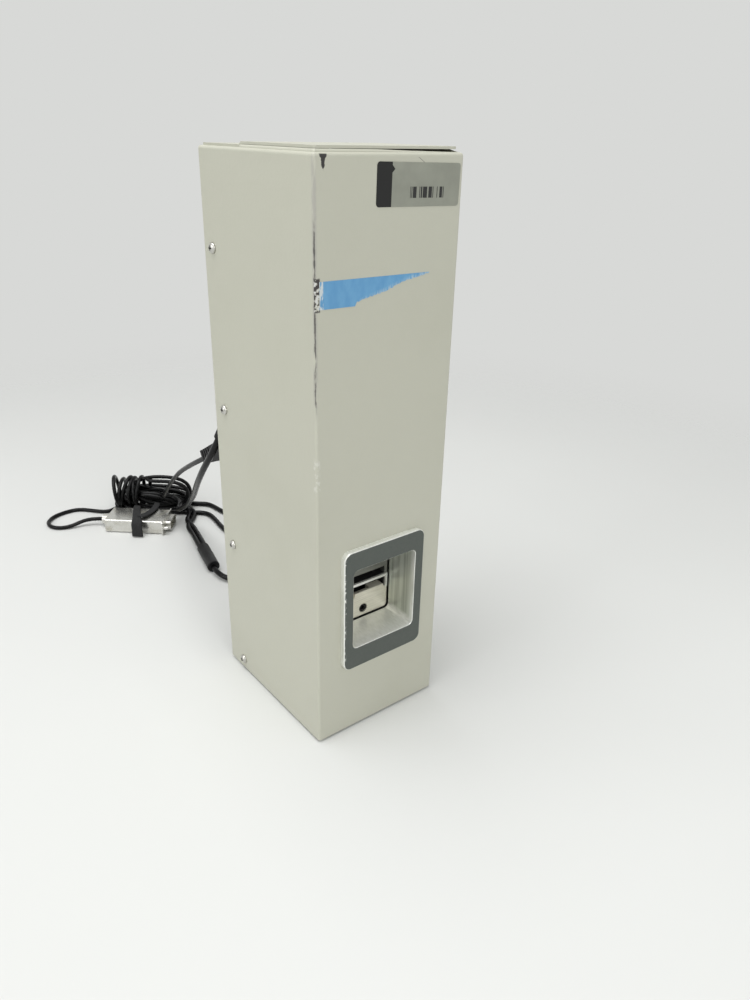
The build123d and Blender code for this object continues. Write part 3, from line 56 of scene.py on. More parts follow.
# ---------------------------------------------------------------- materials
# Procedural finishes are written as arithmetic on wires: the place on the piece goes in, and sums,
# noises, ramps and blends of it feed the shader. Colours are given as a screen shows them.
class Wire:
    """A socket of a material's nodes. Sums, products and the like of wires add Math nodes."""

    def __init__(self, tree, socket):
        self.tree, self.socket = tree, socket

    def node(self, kind, settings=None, inputs=None, output=0):
        """Adds a node: its settings come first, then the values or wires of its sockets."""
        made = self.tree.nodes.new(kind)
        for name, value in (settings or {}).items():
            setattr(made, name, value)
        for name, value in (inputs or {}).items():
            if isinstance(value, Wire):
                self.tree.links.new(value.socket, made.inputs[name])
            else:
                made.inputs[name].default_value = value
        return Wire(self.tree, made.outputs[output])

    def math(self, operation, *values):
        return self.node("ShaderNodeMath", {"operation": operation}, dict(enumerate(values)))

    def __add__(self, other):
        return self.math("ADD", self, other)

    def __sub__(self, other):
        return self.math("SUBTRACT", self, other)

    def __rsub__(self, other):
        return self.math("SUBTRACT", other, self)

    def __mul__(self, other):
        return self.math("MULTIPLY", self, other)

    __radd__ = __add__
    __rmul__ = __mul__

    def __abs__(self):
        return self.math("ABSOLUTE", self)

    def root(self):
        return self.math("SQRT", self)

    def least(self, other):
        return self.math("MINIMUM", self, other)

    def most(self, other):
        return self.math("MAXIMUM", self, other)

    def rounded_down(self):
        return self.math("FLOOR", self)

    def sine(self):
        return self.math("SINE", self)

    def above(self, limit):
        """1 where this value is over the limit and 0 elsewhere, with no fade."""
        return self.math("GREATER_THAN", self, limit)

    def between(self, low, high, soft):
        """1 where this value lies from low to high, fading to 0 over the soft width outside."""
        return self.ramp(low - soft, low) * (1 - self.ramp(high, high + soft))

    def ramp(self, low, high):
        """Rises smoothly from 0 at low to 1 at high."""
        settings = {"interpolation_type": "SMOOTHSTEP"}
        return self.node("ShaderNodeMapRange", settings, {0: self, 1: low, 2: high})

    def noise(self, scale, detail=3.0, stretch=(1, 1, 1)):
        """Soft noise of about 1 / scale metres a grain, read here; stretch squeezes its axes."""
        place = self.node("ShaderNodeMapping", inputs={"Vector": self, "Scale": stretch})
        inputs = {"Vector": place, "Scale": scale, "Detail": detail}
        return place.node("ShaderNodeTexNoise", {"noise_dimensions": "3D"}, inputs)

    def axis(self, letter):
        """One coordinate of this place."""
        return self.node("ShaderNodeSeparateXYZ", inputs={0: self}, output="XYZ".index(letter))

    def blend(self, low, high):
        """The colour low where this wire is 0 and high where it is 1."""
        factor, first_colour, second_colour, mixed_colour = 0, 6, 7, 2
        inputs = {factor: self, first_colour: low, second_colour: high}
        return self.node("ShaderNodeMix", {"data_type": "RGBA"}, inputs, mixed_colour)

    def bump(self, depth, strength=1.0):
        """A surface raised by this wire times depth, in metres."""
        inputs = {"Height": self, "Distance": depth, "Strength": strength}
        return self.node("ShaderNodeBump", inputs=inputs)


def finish_of(name, roughness, metallic=0.0, specular=0.5):
    """A new material: itself, the place on the piece, and a way to feed its shader."""
    material = bpy.data.materials.new(name)
    material.use_nodes = True
    tree = material.node_tree
    shader = tree.nodes["Principled BSDF"]
    shader.inputs["Roughness"].default_value = roughness
    shader.inputs["Metallic"].default_value = metallic
    shader.inputs["Specular IOR Level"].default_value = specular
    place = Wire(tree, tree.nodes.new("ShaderNodeTexCoord").outputs["Object"])

    def feed(**wires):
        for socket, wire in wires.items():
            tree.links.new(wire.socket, shader.inputs[socket.replace("_", " ").title()])

    return material, place, feed


def screen(red, green, blue):
    """A colour as a screen shows it, from 0 to 255, made linear for a shader."""
    shares = np.array([red, green, blue]) / 255
    return (*np.where(shares < 0.04045, shares / 12.92, ((shares + 0.055) / 1.055) ** 2.4), 1.0)


def cad(*names):
    """The CAD nodes of these names."""
    return [nodes[name] for name in names]


def dress(material, *pieces):
    """Gives pieces or CAD nodes a material in all their slots."""
    for piece in pieces:
        if not piece.material_slots:
            piece.data.materials.append(material)
        for place in piece.material_slots:
            place.material = material


def add_piece(name, points, faces, smooth=False):
    """A new object made of points, in metres, and faces, which list their points' numbers."""
    mesh = bpy.data.meshes.new(name)
    mesh.from_pydata(points.reshape(-1, 3).tolist(), [], faces)
    if smooth:
        mesh.polygons.foreach_set("use_smooth", np.ones(len(mesh.polygons), dtype=bool))
    piece = bpy.data.objects.new(name, mesh)
    scene.collection.objects.link(piece)
    return piece


def tube_faces(rows, columns, first=0):
    """Four-cornered faces of a grid of points whose columns close on themselves."""
    row, column = np.meshgrid(np.arange(rows - 1), np.arange(columns), indexing="ij")
    here, beside = row * columns + column, row * columns + (column + 1) % columns
    faces = np.stack([here, here + columns, beside + columns, beside], axis=-1)
    return first + faces.reshape(-1, 4)


# ---------------------------------------------------------------- cords
# Two black vinyl cords leave one moulded hood at the back: a thin signal cord and a thicker supply
# cord. Their spare length is wound into one tied hank on the bench. The supply cord runs on through
# a moulded barrel, where a second lead joins it, and is put away in a coil behind the tower.
def lay_cord(name, route, diameter):
    """A round section along one quadratic spline with the route as its control points.

    The bevel's depth is one metre and each point's radius is the cord's own: their product counts.
    """
    curve = bpy.data.curves.new(name, "CURVE")
    curve.dimensions = "3D"
    curve.bevel_depth = 1.0
    curve.bevel_resolution = 3
    curve.resolution_u = 5
    curve.use_fill_caps = True
    spline = curve.splines.new("NURBS")
    spline.points.add(len(route) - 1)
    spline.points.foreach_set("co", np.column_stack([route, np.ones(len(route))]).ravel())
    spline.points.foreach_set("radius", np.full(len(route), diameter / 2))
    spline.order_u = 3
    spline.use_endpoint_u = True
    cord = bpy.data.objects.new(name, curve)
    scene.collection.objects.link(cord)
    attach(cord, "root")
    return cord


hank_middle = np.array([0.0065, 0.297, 0.0])
hank_turn = radians(-38)
hank_along = np.array([cos(hank_turn), sin(hank_turn), 0.0])
hank_across = np.array([-sin(hank_turn), cos(hank_turn), 0.0])


def in_hank(along, across, height):
    """Points in the hank's own directions, in metres, turned into the counter's."""
    along, across, height = np.broadcast_arrays(along, across, height)
    places = np.multiply.outer(along, hank_along) + np.multiply.outer(across, hank_across)
    places += hank_middle
    places[..., 2] += height
    return places


signal_diameter = 0.0034
signal_rest = 0.00175
snout_end = np.array([-0.029, 0.0959, 0.1296])
snout_way = np.array([0, 0.871, -0.491])
signal_drop = np.array([
    snout_end,
    snout_end + snout_way * 0.014,
    (-0.0272, 0.132, 0.1096),
    (-0.0226, 0.162, 0.0928),
    (-0.015, 0.196, 0.0708),
    (-0.006, 0.229, 0.0492),
    in_hank(0.020, -0.035, 0.028),
    in_hank(0.020, -0.015, 0.028),
])

# long turns of the signal cord: rounded loops that lie along the hank at several tilts, and after
# four of them two slack ones that stand up as open rings over the right half
loops, points_a_loop = 6, 14
looping = np.linspace(0, loops, loops * points_a_loop + 1)
loop_angle = radians(100) + 2 * pi * looping
loop_stage = (0, 1, 2, 3, 4, 4.5, 5, 6)
reach = np.interp(looping, loop_stage, (31, 34.5, 33, 35, 32, 30, 25.5, 24)) / 1000
width = np.interp(looping, loop_stage, (12.6, 13.0, 12.6, 13.2, 12.8, 13.0, 13.4, 13.0)) / 1000
tilt = np.radians(np.interp(looping, loop_stage, (32, 12, 40, 20, 30, 60, 96, 84)))
slide = np.interp(looping, loop_stage, (1.5, 0.5, 2, 0.5, 3, 6, 10, 11)) / 1000
aside = np.interp(looping, loop_stage, (-3, -1, -3, 1, 5, 3, 1, -7)) / 1000
lift = np.interp(looping, loop_stage, (9.5, 6.5, 10.5, 8, 11, 16, 20.5, 18.5)) / 1000
squareness = 2.0
straighter = np.tanh(squareness * np.cos(loop_angle)) / np.tanh(squareness)
long_turns = in_hank(
    slide + (reach - width) * straighter + width * np.cos(loop_angle),
    aside + width * np.cos(tilt) * np.sin(loop_angle),
    lift + width * np.sin(tilt) * np.sin(loop_angle),
)
# short turns round the left half, which hold the long ones together; they lean and differ in size
wraps, points_a_wrap = 6.4, 12
wrapping = np.linspace(0, 1, int(wraps * points_a_wrap) + 1)
wrap_angle = radians(62) - 2 * pi * wraps * wrapping
lean = np.interp(wrapping, (0, 0.3, 0.55, 0.8, 1), (0.0048, -0.0016, 0.0056, 0.0006, -0.0048))
short_turns = in_hank(
    -0.0070 - 0.0265 * wrapping**1.1 + lean * np.sin(wrap_angle + 0.6),
    (0.0126 + 0.0008 * np.sin(9 * wrapping)) * np.cos(wrap_angle),
    0.0174 + (0.0140 + 0.0014 * np.sin(14 * wrapping)) * np.sin(wrap_angle),
)
# the tail loops out on the bench and comes back into the plug's axis
plug_axis = 0.0063
signal_tail = np.array([
    in_hank(-0.0345, -0.0060, 0.0024),
    in_hank(-0.0390, -0.0110, 0.0020),
    in_hank(-0.0470, -0.0110, 0.0018),
    (-0.0500, 0.3330, signal_rest),
    (-0.063, 0.334, signal_rest),
    (-0.076, 0.330, signal_rest),
    (-0.084, 0.3195, signal_rest),
    (-0.0815, 0.3075, signal_rest),
    (-0.070, 0.3015, signal_rest),
    (-0.05285, 0.30060, plug_axis),
    (-0.0423, 0.2914, plug_axis),
])
over_the_top = np.array([[-0.4, -4.5, 31.4], [-3.1, 0.3, 31.1]]).T / 1000
signal_cord = lay_cord(
    "signal_cord",
    np.vstack([signal_drop, long_turns, in_hank(*over_the_top), short_turns, signal_tail]),
    signal_diameter,
)
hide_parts("signal_cord_drop", "cord_hank", "signal_cord_tail")

supply_diameter = 0.0042
supply_rest = 0.0022
boot_end = np.array([-0.0386, 0.0605, 0.1555])
boot_way = np.array([-0.189, 0.433, -0.882])
barrel_back = np.array([0.006, 0.194, 0.0051])
barrel_front = np.array([-0.0016, 0.160, 0.0051])
barrel_way = (barrel_front - barrel_back) / np.linalg.norm(barrel_front - barrel_back)
half_apart = np.array([-barrel_way[1], barrel_way[0], 0]) * 0.00215
supply_drop = np.array([
    boot_end,
    boot_end + boot_way * 0.012,
    (-0.041, 0.078, 0.1315),
    (-0.039, 0.092, 0.1177),
    (-0.0335, 0.110, 0.1035),
    (-0.024, 0.136, 0.0848),
    (-0.012, 0.168, 0.0653),
    (0.002, 0.203, 0.0465),
    (0.012, 0.231, 0.0285),
    in_hank(0.030, -0.031, 0.014),
    in_hank(0.030, -0.015, 0.014),
])
first_turn = in_hank(
    np.array([26, 14, 0, -14, -23, -24, -16, -2, 12, 26]) / 1000,
    np.array([-8, -2, 4, 6, 5, 1, -4, -6, -7.5, -9.5]) / 1000,
    np.array([14, 17, 20, 21, 18, 11, 5.5, 3.4, 2.8, 2.4]) / 1000,
)
bight = np.array([
    in_hank(0.038, -0.010, supply_rest),
    in_hank(0.053, -0.010, supply_rest),
    (0.0415, 0.241, supply_rest),
    (0.0393, 0.226, supply_rest),
    (0.0385, 0.212, supply_rest),
    (0.041, 0.198, supply_rest),
    (0.0485, 0.1875, supply_rest),
    (0.062, 0.186, supply_rest),
    (0.0725, 0.1955, supply_rest),
    (0.0725, 0.210, supply_rest),
    (0.064, 0.223, supply_rest),
    (0.0575, 0.237, supply_rest),
    (0.054, 0.254, supply_rest),
    in_hank(0.051, 0.009, supply_rest),
    in_hank(0.038, 0.009, supply_rest),
])
second_turn = in_hank(
    np.array([26, 12, -4, -16, -21, -15, -1, 13, 25, 34, 41, 42]) / 1000,
    np.array([9, 10, 11, 9, 1, -7, -10, -9, -6, -5, -10, -19]) / 1000,
    np.array([3, 3, 3.5, 7, 13, 18, 19, 16, 10, 5, 3, 2.2]) / 1000,
)
left_lead_end = barrel_back - half_apart
supply_run = np.array([
    in_hank(0.0415, -0.028, supply_rest),
    (0.0149, 0.243, supply_rest),
    (0.012, 0.225, supply_rest),
    left_lead_end - barrel_way * 0.015,
    left_lead_end,
    barrel_front,
    barrel_front + barrel_way * 0.010,
    (0.0005, 0.1375, 0.003),
    (0.014, 0.1315, supply_rest),
    (0.028, 0.1296, supply_rest),
])
# the put-away coil: one turn after another, two turns wide and three high
coil_middle = np.array([0.034, 0.104, 0.0])
coiling = np.linspace(0.06, 5.56, 76)
coil_angle = radians(103) - 2 * pi * coiling
coil_stage = (0, 0.8, 1.0, 1.8, 2.0, 2.8, 3.0, 3.8, 4.0, 4.8, 5.0, 6.0)
wide, tight = 0.025, 0.021
coil_radius = np.interp(coiling, coil_stage, np.repeat((wide, tight, tight, wide, tight, wide), 2))
coil_rise = np.interp(coiling, coil_stage, np.repeat((0.0022, 0.0065, 0.0107), 4))
coil = coil_middle + np.column_stack(
    [coil_radius * np.cos(coil_angle), coil_radius * np.sin(coil_angle), coil_rise]
)
supply_end = np.array([
    (0.0245, 0.0772, 0.0084),
    (0.015, 0.0745, 0.0056),
    (0.004, 0.0726, 0.0056),
])
supply_cord = lay_cord(
    "supply_cord",
    np.vstack([supply_drop, first_turn, bight, second_turn, supply_run, coil, supply_end]),
    supply_diameter,
)
# the second lead comes out beside the first and is tied into the hank
right_lead_end = barrel_back + half_apart
second_lead = lay_cord(
    "second_lead",
    np.vstack([
        right_lead_end,
        right_lead_end - barrel_way * 0.015,
        (0.0164, 0.225, supply_rest),
        (0.0194, 0.243, supply_rest),
        in_hank(0.0365, -0.026, supply_rest),
        in_hank(0.0375, -0.014, supply_rest),
        in_hank(
            np.array([33, 23, 9, -5, -17, -25, -22, -10, 4, 17, 27, 33]) / 1000,
            np.array([-5, 1, 5, 8, 8, 3, -4, -8, -8, -6, -4, -3]) / 1000,
            np.array([4, 6, 6, 5.5, 6, 11, 17, 20, 20, 17, 13, 8]) / 1000,
        ),
    ]),
    supply_diameter,
)
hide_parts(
    "supply_cord_drop", "supply_cord_bight", "supply_cord_run", "supply_cord_lead",
    "supply_coil", "supply_cord_end",
)


# black vinyl jacket: nearly black, with a soft sheen and a little dust in its grain
vinyl, place, feed = finish_of("black_vinyl", 0.35, specular=0.2)
dusty = place.noise(55).ramp(0.35, 0.75)
fine = place.noise(900, 2.0)
feed(
    base_color=dusty.blend(screen(5, 5, 6), screen(14, 14, 15)),
    roughness=0.24 + dusty * 0.12,
    normal=fine.bump(0.00008),
)
dress(vinyl, signal_cord, supply_cord, second_lead)


# ---------------------------------------------------------------- hook-and-loop tie
# A soft black strip comes out from under the hank. Its end hangs over the plug's edge, and another
# length of it, the leg, lies across the top of the plug.
def ribbon(name, middle_line, across, widths):
    """A flat strip, whose point (i, j) is middle_line[i] + across * widths[i] * j, |j| <= 1/2."""
    shares = np.linspace(-0.5, 0.5, 5)
    grid = middle_line[:, None] + across * widths[:, None, None] * shares[None, :, None]
    rows, columns = grid.shape[:2]
    corner = (np.arange(rows - 1)[:, None] * columns + np.arange(columns - 1)).ravel()
    faces = np.column_stack([corner, corner + 1, corner + columns + 1, corner + columns])
    strip = add_piece(name, grid, faces.tolist(), smooth=True)
    wall = strip.modifiers.new("thickness", "SOLIDIFY")
    wall.thickness = 0.0012
    wall.offset = 0
    softer = strip.modifiers.new("smooth", "SUBSURF")
    softer.levels = softer.render_levels = 1
    return strip


def smooth_line(corners, count):
    """Points along a Catmull-Rom curve through the corners, spread evenly in its parameter."""
    corners = np.array(corners, float)
    padded = np.vstack([2 * corners[0] - corners[1], corners, 2 * corners[-1] - corners[-2]])
    spot = np.linspace(0, len(corners) - 1 - 1e-9, count)
    first = spot.astype(int)
    share = (spot - first)[:, None]
    p, q, r, t = (padded[first + shift] for shift in range(4))
    squared, cubed = 2 * p - 5 * q + 4 * r - t, 3 * q - p - 3 * r + t
    return 0.5 * (2 * q + (r - p) * share + squared * share**2 + cubed * share**3)


hanging = smooth_line(
    [
        (-0.0135, 0.2830, 0.0146),
        (-0.0172, 0.2760, 0.0136),
        (-0.0215, 0.2655, 0.0132),
        (-0.0248, 0.2577, 0.0131),
        (-0.0268, 0.2540, 0.0112),
        (-0.0274, 0.2524, 0.0060),
        (-0.0280, 0.2512, 0.0010),
    ],
    36,
)
widening = np.interp(np.linspace(0, 1, 36), (0, 0.25, 0.6, 1), (0.0060, 0.0075, 0.0095, 0.0100))
tie_end = ribbon("cord_tie_end", hanging, np.array([0.753, -0.657, 0]), widening)
lying = smooth_line(
    [
        (0.0040, 0.2790, 0.0142),
        (-0.0010, 0.2725, 0.0138),
        (-0.0080, 0.2665, 0.0138),
        (-0.0150, 0.2625, 0.0142),
        (-0.0205, 0.2610, 0.0146),
    ],
    20,
)
tie_leg = ribbon("cord_tie_leg", lying, np.array([0.45, -0.89, 0]), np.full(20, 0.0062))
tie_cloth, place, feed = finish_of("hook_and_loop", 0.9)
nap = place.noise(1400, 2.0)
feed(
    base_color=nap.ramp(0.3, 0.8).blend(screen(16, 16, 17), screen(44, 44, 45)),
    normal=nap.bump(0.0003, 0.8),
)
dress(tie_cloth, tie_end, tie_leg)
for strip in (tie_end, tie_leg):
    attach(strip, "root")

# ---------------------------------------------------------------- floor, sky and lamps
# A pale floor fades into the sky's colour. Three soft lamps light it: a wide one overhead, a weaker
# one from the left, and one high in front that reaches into the recess.
floor_corners = np.array([(-4, -4, 0), (4, -4, 0), (4, 4, 0), (-4, 4, 0)])
floor = add_piece("floor", floor_corners, [(0, 1, 2, 3)])
paper, place, feed = finish_of("floor_paper", 0.7)
x, y = place.axis("X"), place.axis("Y") - 0.1
away = (x * x + y * y).root()
seen = place.node("ShaderNodeLightPath", output="Is Camera Ray")
feed(
    base_color=place.noise(3).blend(screen(214, 215, 213), screen(219, 220, 218)),
    alpha=1 - away.ramp(0.35, 0.85) * seen,
)
dress(paper, floor)

world = bpy.data.worlds.new("studio")
scene.world = world
world.use_nodes = True
sky = world.node_tree.nodes["Background"]
sky.inputs["Color"].default_value = screen(216, 217, 215)
# the sky is a little dimmer as a light than it is to the camera and in reflections
light = Wire(world.node_tree, sky.outputs["Background"])
seen = light.node("ShaderNodeLightPath", output="Is Camera Ray")
mirrored = light.node("ShaderNodeLightPath", output="Is Glossy Ray")
sky_level = 0.60 + seen.most(mirrored) * 0.40
world.node_tree.links.new(sky_level.socket, sky.inputs["Strength"])


def hang_lamp(name, place, towards, size, power):
    """A square soft lamp that faces a point."""
    lamp = bpy.data.objects.new(name, bpy.data.lights.new(name, "AREA"))
    lamp.data.size = size
    lamp.data.energy = power
    back = np.subtract(place, towards)
    back /= np.linalg.norm(back)
    side = np.cross((0, 1, 0.01), back)
    side /= np.linalg.norm(side)
    turned = Matrix((side, np.cross(back, side), back)).transposed().to_4x4()
    lamp.matrix_world = Matrix.Translation(place) @ turned
    scene.collection.objects.link(lamp)


hang_lamp("lamp_overhead", (-0.3, 0.1, 1.7), (0, 0, 0.15), 1.2, 20)
hang_lamp("lamp_left", (-1.6, 0.1, 0.8), (0, 0, 0.15), 0.9, 8)
hang_lamp("lamp_front", (-0.15, -1.35, 0.85), (0, 0, 0.1), 0.7, 7.5)

# ---------------------------------------------------------------- painted case
# Cover and chassis are folded steel sheet, powder coated in a warm off-white with a fine orange
# peel. The left front fold is rubbed grey and inked, flaked where the tape ends, scraped lower down
# and chipped at its top. A short scratch crosses the front above the tag.
case_side, case_front = 0.0435, -0.0522
case_paint, place, feed = finish_of("case_powder_coat", 0.5)
x, y, z = place.axis("X"), place.axis("Y"), place.axis("Z")
off_x, off_y = x + case_side, y - case_front
from_fold = (off_x * off_x + off_y * off_y).root()
ragged = place.noise(420, 4.0)
streaky = place.noise(700, 3.0, (1, 1, 0.16))
rubbed = (0.0011 + ragged * 0.0006 - from_fold).ramp(-0.0006, 0.0006)
rubbed = rubbed * z.between(0.215, 0.3155, 0.02)
rubbed = rubbed * streaky.ramp(0.25, 0.60) * 0.5
inked = (0.0005 + ragged * 0.0006 - from_fold).ramp(-0.0001, 0.0001)
inked = inked * z.between(0.212, 0.282, 0.012)
inked = inked * streaky.ramp(0.40, 0.52) * 0.8
flaked = (0.0030 - from_fold).ramp(-0.0004, 0.0004) * z.between(0.2520, 0.2660, 0.0010)
flaked = flaked * (case_front + 0.0007 - y).ramp(-0.0002, 0.0001)
bits = place.noise(700, 3.0)
flaked_dark = flaked * bits.ramp(0.50, 0.53)
flaked_pale = flaked * (0.43 - bits).ramp(-0.02, 0.02)
scraped = (0.0022 - from_fold).ramp(-0.0006, 0.0004) * z.between(0.163, 0.177, 0.004)
scraped = scraped * ragged.ramp(0.46, 0.62) * 0.5
chip_width = (z - 0.3106) * 0.25 + z.ramp(0.3156, 0.3164) * 0.0006
chip = (chip_width - abs(x + 0.0383) + (ragged - 0.5) * 0.0028).ramp(-0.0002, 0.0002)
chip = chip * z.between(0.3110, 0.3172, 0.0004) * (case_front + 0.0022 - y).ramp(-0.0002, 0.0002)
scratch = (0.00012 - abs(z - 0.3150 + (x - 0.0165) * 0.6)).ramp(-0.00008, 0.00004)
scratch = scratch * x.between(0.0150, 0.0184, 0.0004)
scratch = scratch * (case_front + 0.0007 - y).ramp(-0.0002, 0.0002)
soiled = place.noise(14, 5.0).ramp(0.42, 0.78) * 0.5
paint = soiled.blend(screen(187, 187, 173), screen(181, 181, 166))
for mark, colour in (
    (rubbed, (142, 138, 138)),
    (inked, (40, 38, 38)),
    (flaked_dark, (58, 54, 54)),
    (flaked_pale, (204, 205, 202)),
    (scraped, (214, 214, 207)),
    (scratch, (120, 118, 112)),
    (chip, (46, 44, 43)),
):
    paint = mark.blend(paint, screen(*colour))
peel = place.noise(520, 2.0)
feed(
    base_color=paint,
    roughness=0.46 + soiled * 0.16 - rubbed * 0.1,
    normal=(peel + streaky * 0.25).bump(0.00016, 0.55),
)
dress(case_paint, *cad("front_cover", "chassis"))

# A rolled bead on the cover's top edge, in the same paint, meets the lid from below. It is tall at
# the left, where the seam is a hairline, and runs out to the right, where the seam opens.
cover_top, bead_width = 0.3180, 0.0012
bead_side, bead_front = 0.0422, -0.0508
side_points, front_points = 12, 30
quarter = np.linspace(0, pi / 2, 6)


def rolled_bead(edge, inwards, rise):
    """Its point (i, j) is edge_i + inwards_i * bead_width * u_j, at cover_top + rise_i * v_j.

    (u, v) is a quarter circle from (0, 0) to (1, 1), closed by a flat underside at v = -0.08.
    """
    u = np.concatenate([1 - np.cos(quarter), (1, 0)])
    v = np.concatenate([np.sin(quarter), (-0.08, -0.08)])
    bead = np.empty((len(edge), len(u), 3))
    bead[..., :2] = edge[:, None] + inwards[:, None] * u[:, None] * bead_width
    bead[..., 2] = cover_top + rise[:, None] * v
    return bead


left_y = np.linspace(0.0120, -0.0498, side_points)
front_x = np.linspace(-0.0416, 0.0416, front_points)
side_x = np.full(side_points, bead_side)
edge_x = np.concatenate([-side_x, front_x, side_x])
edge_y = np.concatenate([left_y, np.full(front_points, bead_front), left_y[::-1]])
slant = 0.7071
inwards = np.repeat(
    [(1, 0), (slant, slant), (0, 1), (-slant, slant), (-1, 0)],
    (side_points - 1, 2, front_points - 2, 2, side_points - 1),
    axis=0,
)
rise = np.interp(edge_x, (-0.0422, -0.008, 0.010, 0.0416), (0.00128, 0.00118, 0.0007, 0.0001))
rise[-side_points:] = np.interp(edge_y[-side_points:], (-0.0498, -0.0440), (0.0002, 0.00128))
bead = rolled_bead(np.column_stack([edge_x, edge_y]), inwards, rise)
rows, columns = bead.shape[:2]
first_end = np.arange(columns)
last_end = first_end[::-1] + (rows - 1) * columns
cover_bead = add_piece(
    "cover_bead", bead,
    [*tube_faces(rows, columns).tolist(), first_end.tolist(), last_end.tolist()],
)
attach(cover_bead, "root")
dress(case_paint, cover_bead)

# ---------------------------------------------------------------- side screws
# Plated button heads with a cross drive, four on each side, that hold the cover to the chassis.
head_radius, head_height, head_rim = 0.0029, 0.0021, 0.0004
shank_radius, shank_length = 0.0015, 0.0056
swing = np.linspace(0, pi / 2, 8)
profile = np.vstack([
    np.column_stack([
        head_radius * np.sin(swing), head_rim + (head_height - head_rim) * np.cos(swing)
    ]),
    [(head_radius, 0), (shank_radius, 0), (shank_radius, -shank_length), (0, -shank_length)],
])
around = np.linspace(0, 2 * pi, 33)[:-1]
screw_centres = [(0.0354, 0.0082), (0.0407, 0.0918), (0.0412, 0.1797), (0.0430, 0.2687)]


def turned_screw(side, y, z):
    """The profile's (r, h) turned round X: (side (case_side + h), y + r cos a, z + r sin a)."""
    radius, height = profile[:, :1], profile[:, 1:]
    return np.stack([
        np.broadcast_to(side * (case_side + height), (len(profile), len(around))),
        y + radius * np.cos(side * around),
        z + radius * np.sin(side * around),
    ], axis=-1).reshape(-1, 3)


# the cross drive is drawn in each head's own flat coordinates, which run from -1 to 1 across it
plated, place, feed = finish_of("screw_plating", 0.28, 1.0)
flat = place.node("ShaderNodeTexCoord", output="UV")
across, along = abs(flat.axis("X")), abs(flat.axis("Y"))
arm_width, arm_length = across.least(along), across.most(along)
# the cross drive is given a dark colour: painted shade inside its recess, which is only a bump
cross = (0.13 - arm_width).ramp(-0.04, 0.02) * (0.5 - arm_length).ramp(-0.05, 0.05)
dull = place.noise(900, 3.0)
shade = dull.blend(screen(206, 205, 200), screen(182, 180, 174))
feed(
    base_color=cross.blend(shade, screen(58, 56, 52)),
    roughness=0.24 + dull * 0.16 + cross * 0.3,
    normal=(1 - cross).bump(0.0007, 0.8),
)
on_head = profile[:, :1, None] * np.column_stack([np.cos(around), np.sin(around)]) / head_radius
on_heads = np.tile(on_head.reshape(-1, 2), (len(screw_centres), 1))
for side, name in ((-1, "side_screws_left"), (1, "side_screws_right")):
    points = np.vstack([turned_screw(side, y, z) for y, z in screw_centres])
    faces = np.vstack([
        tube_faces(len(profile), len(around), screw * len(profile) * len(around))
        for screw in range(len(screw_centres))
    ])
    heads = add_piece(name + "_heads", points, faces.tolist(), smooth=True)
    corners = np.empty(len(heads.data.loops), dtype=np.int32)
    heads.data.loops.foreach_get("vertex_index", corners)
    heads.data.uv_layers.new(name="head").data.foreach_set("uv", on_heads[corners].ravel())
    weld = heads.modifiers.new("weld", "WELD")
    weld.merge_threshold = 0.00001
    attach(heads, "root")
    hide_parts(name)
    dress(plated, heads)

# ---------------------------------------------------------------- asset tag
# A brushed foil label at the top right of the front, left blank: a black band with a small point at
# its left end and a row of plain bars, with no lettering. It sits a degree out of square.
tag_middle, tag_half = np.array([0.01583, 0.30435]), np.array([0.02537, 0.00955])
tag_corner = 0.0016
tag_outline = np.vstack([
    np.column_stack([
        sx * (tag_half[0] - tag_corner) + tag_corner * np.cos(start + quarter),
        sz * (tag_half[1] - tag_corner) + tag_corner * np.sin(start + quarter),
    ])
    for sx, sz, start in ((1, 1, 0), (-1, 1, pi / 2), (-1, -1, pi), (1, -1, 3 * pi / 2))
])
tag_tilt = radians(-1.0)
tag_turn = np.array([[cos(tag_tilt), sin(tag_tilt)], [-sin(tag_tilt), cos(tag_tilt)]])


def flat_label(name, outline, stands_out):
    """A thin plate with the outline (x, z) on the case's front, its back 0.02 mm into the paint."""
    count = len(outline)
    front = np.column_stack([outline[:, 0], np.full(count, case_front - stands_out), outline[:, 1]])
    back = front + np.array([0, stands_out + 0.00002, 0])
    ring = np.arange(count)
    sides = np.column_stack([ring, ring + count, (ring + 1) % count + count, (ring + 1) % count])
    faces = [ring.tolist(), (ring[::-1] + count).tolist(), *sides.tolist()]
    label = add_piece(name, np.vstack([front, back]), faces)
    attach(label, "root")
    return label


tag = flat_label("asset_tag", tag_middle + tag_outline @ tag_turn, 0.00016)
foil, place, feed = finish_of("tag_foil", 0.34, 0.65)
x, z = place.axis("X") - tag_middle[0], place.axis("Z") - tag_middle[1]
along = x * cos(tag_tilt) + z * sin(tag_tilt)
rise = z * cos(tag_tilt) - x * sin(tag_tilt)
brushed = place.noise(300, 4.0, (0.06, 1, 9))
band_edge = -0.0166 + (0.0016 - abs(rise - 0.0066)).most(0.0)
band = (band_edge - along).ramp(-0.0001, 0.0001)
bars_a_metre = 2300
stripe = (along * bars_a_metre).rounded_down()
chance = stripe.node("ShaderNodeTexWhiteNoise", {"noise_dimensions": "1D"}, {"W": stripe})
bars = chance.above(0.42)
bars = bars * along.between(-0.0055, 0.0152, 0.0001) * rise.between(-0.0057, -0.0009, 0.0001)
smudge = place.noise(120, 4.0)
shade = smudge.blend(screen(172, 174, 162), screen(146, 148, 138))
shade = band.blend(shade, screen(9, 9, 9))
shade = bars.blend(shade, screen(40, 40, 40))
feed(
    base_color=shade,
    roughness=0.30 + brushed * 0.12 + band * 0.2,
    metallic=0.65 - band * 0.6 - bars * 0.6,
    normal=brushed.bump(0.00003, 0.6),
)
dress(foil, tag)

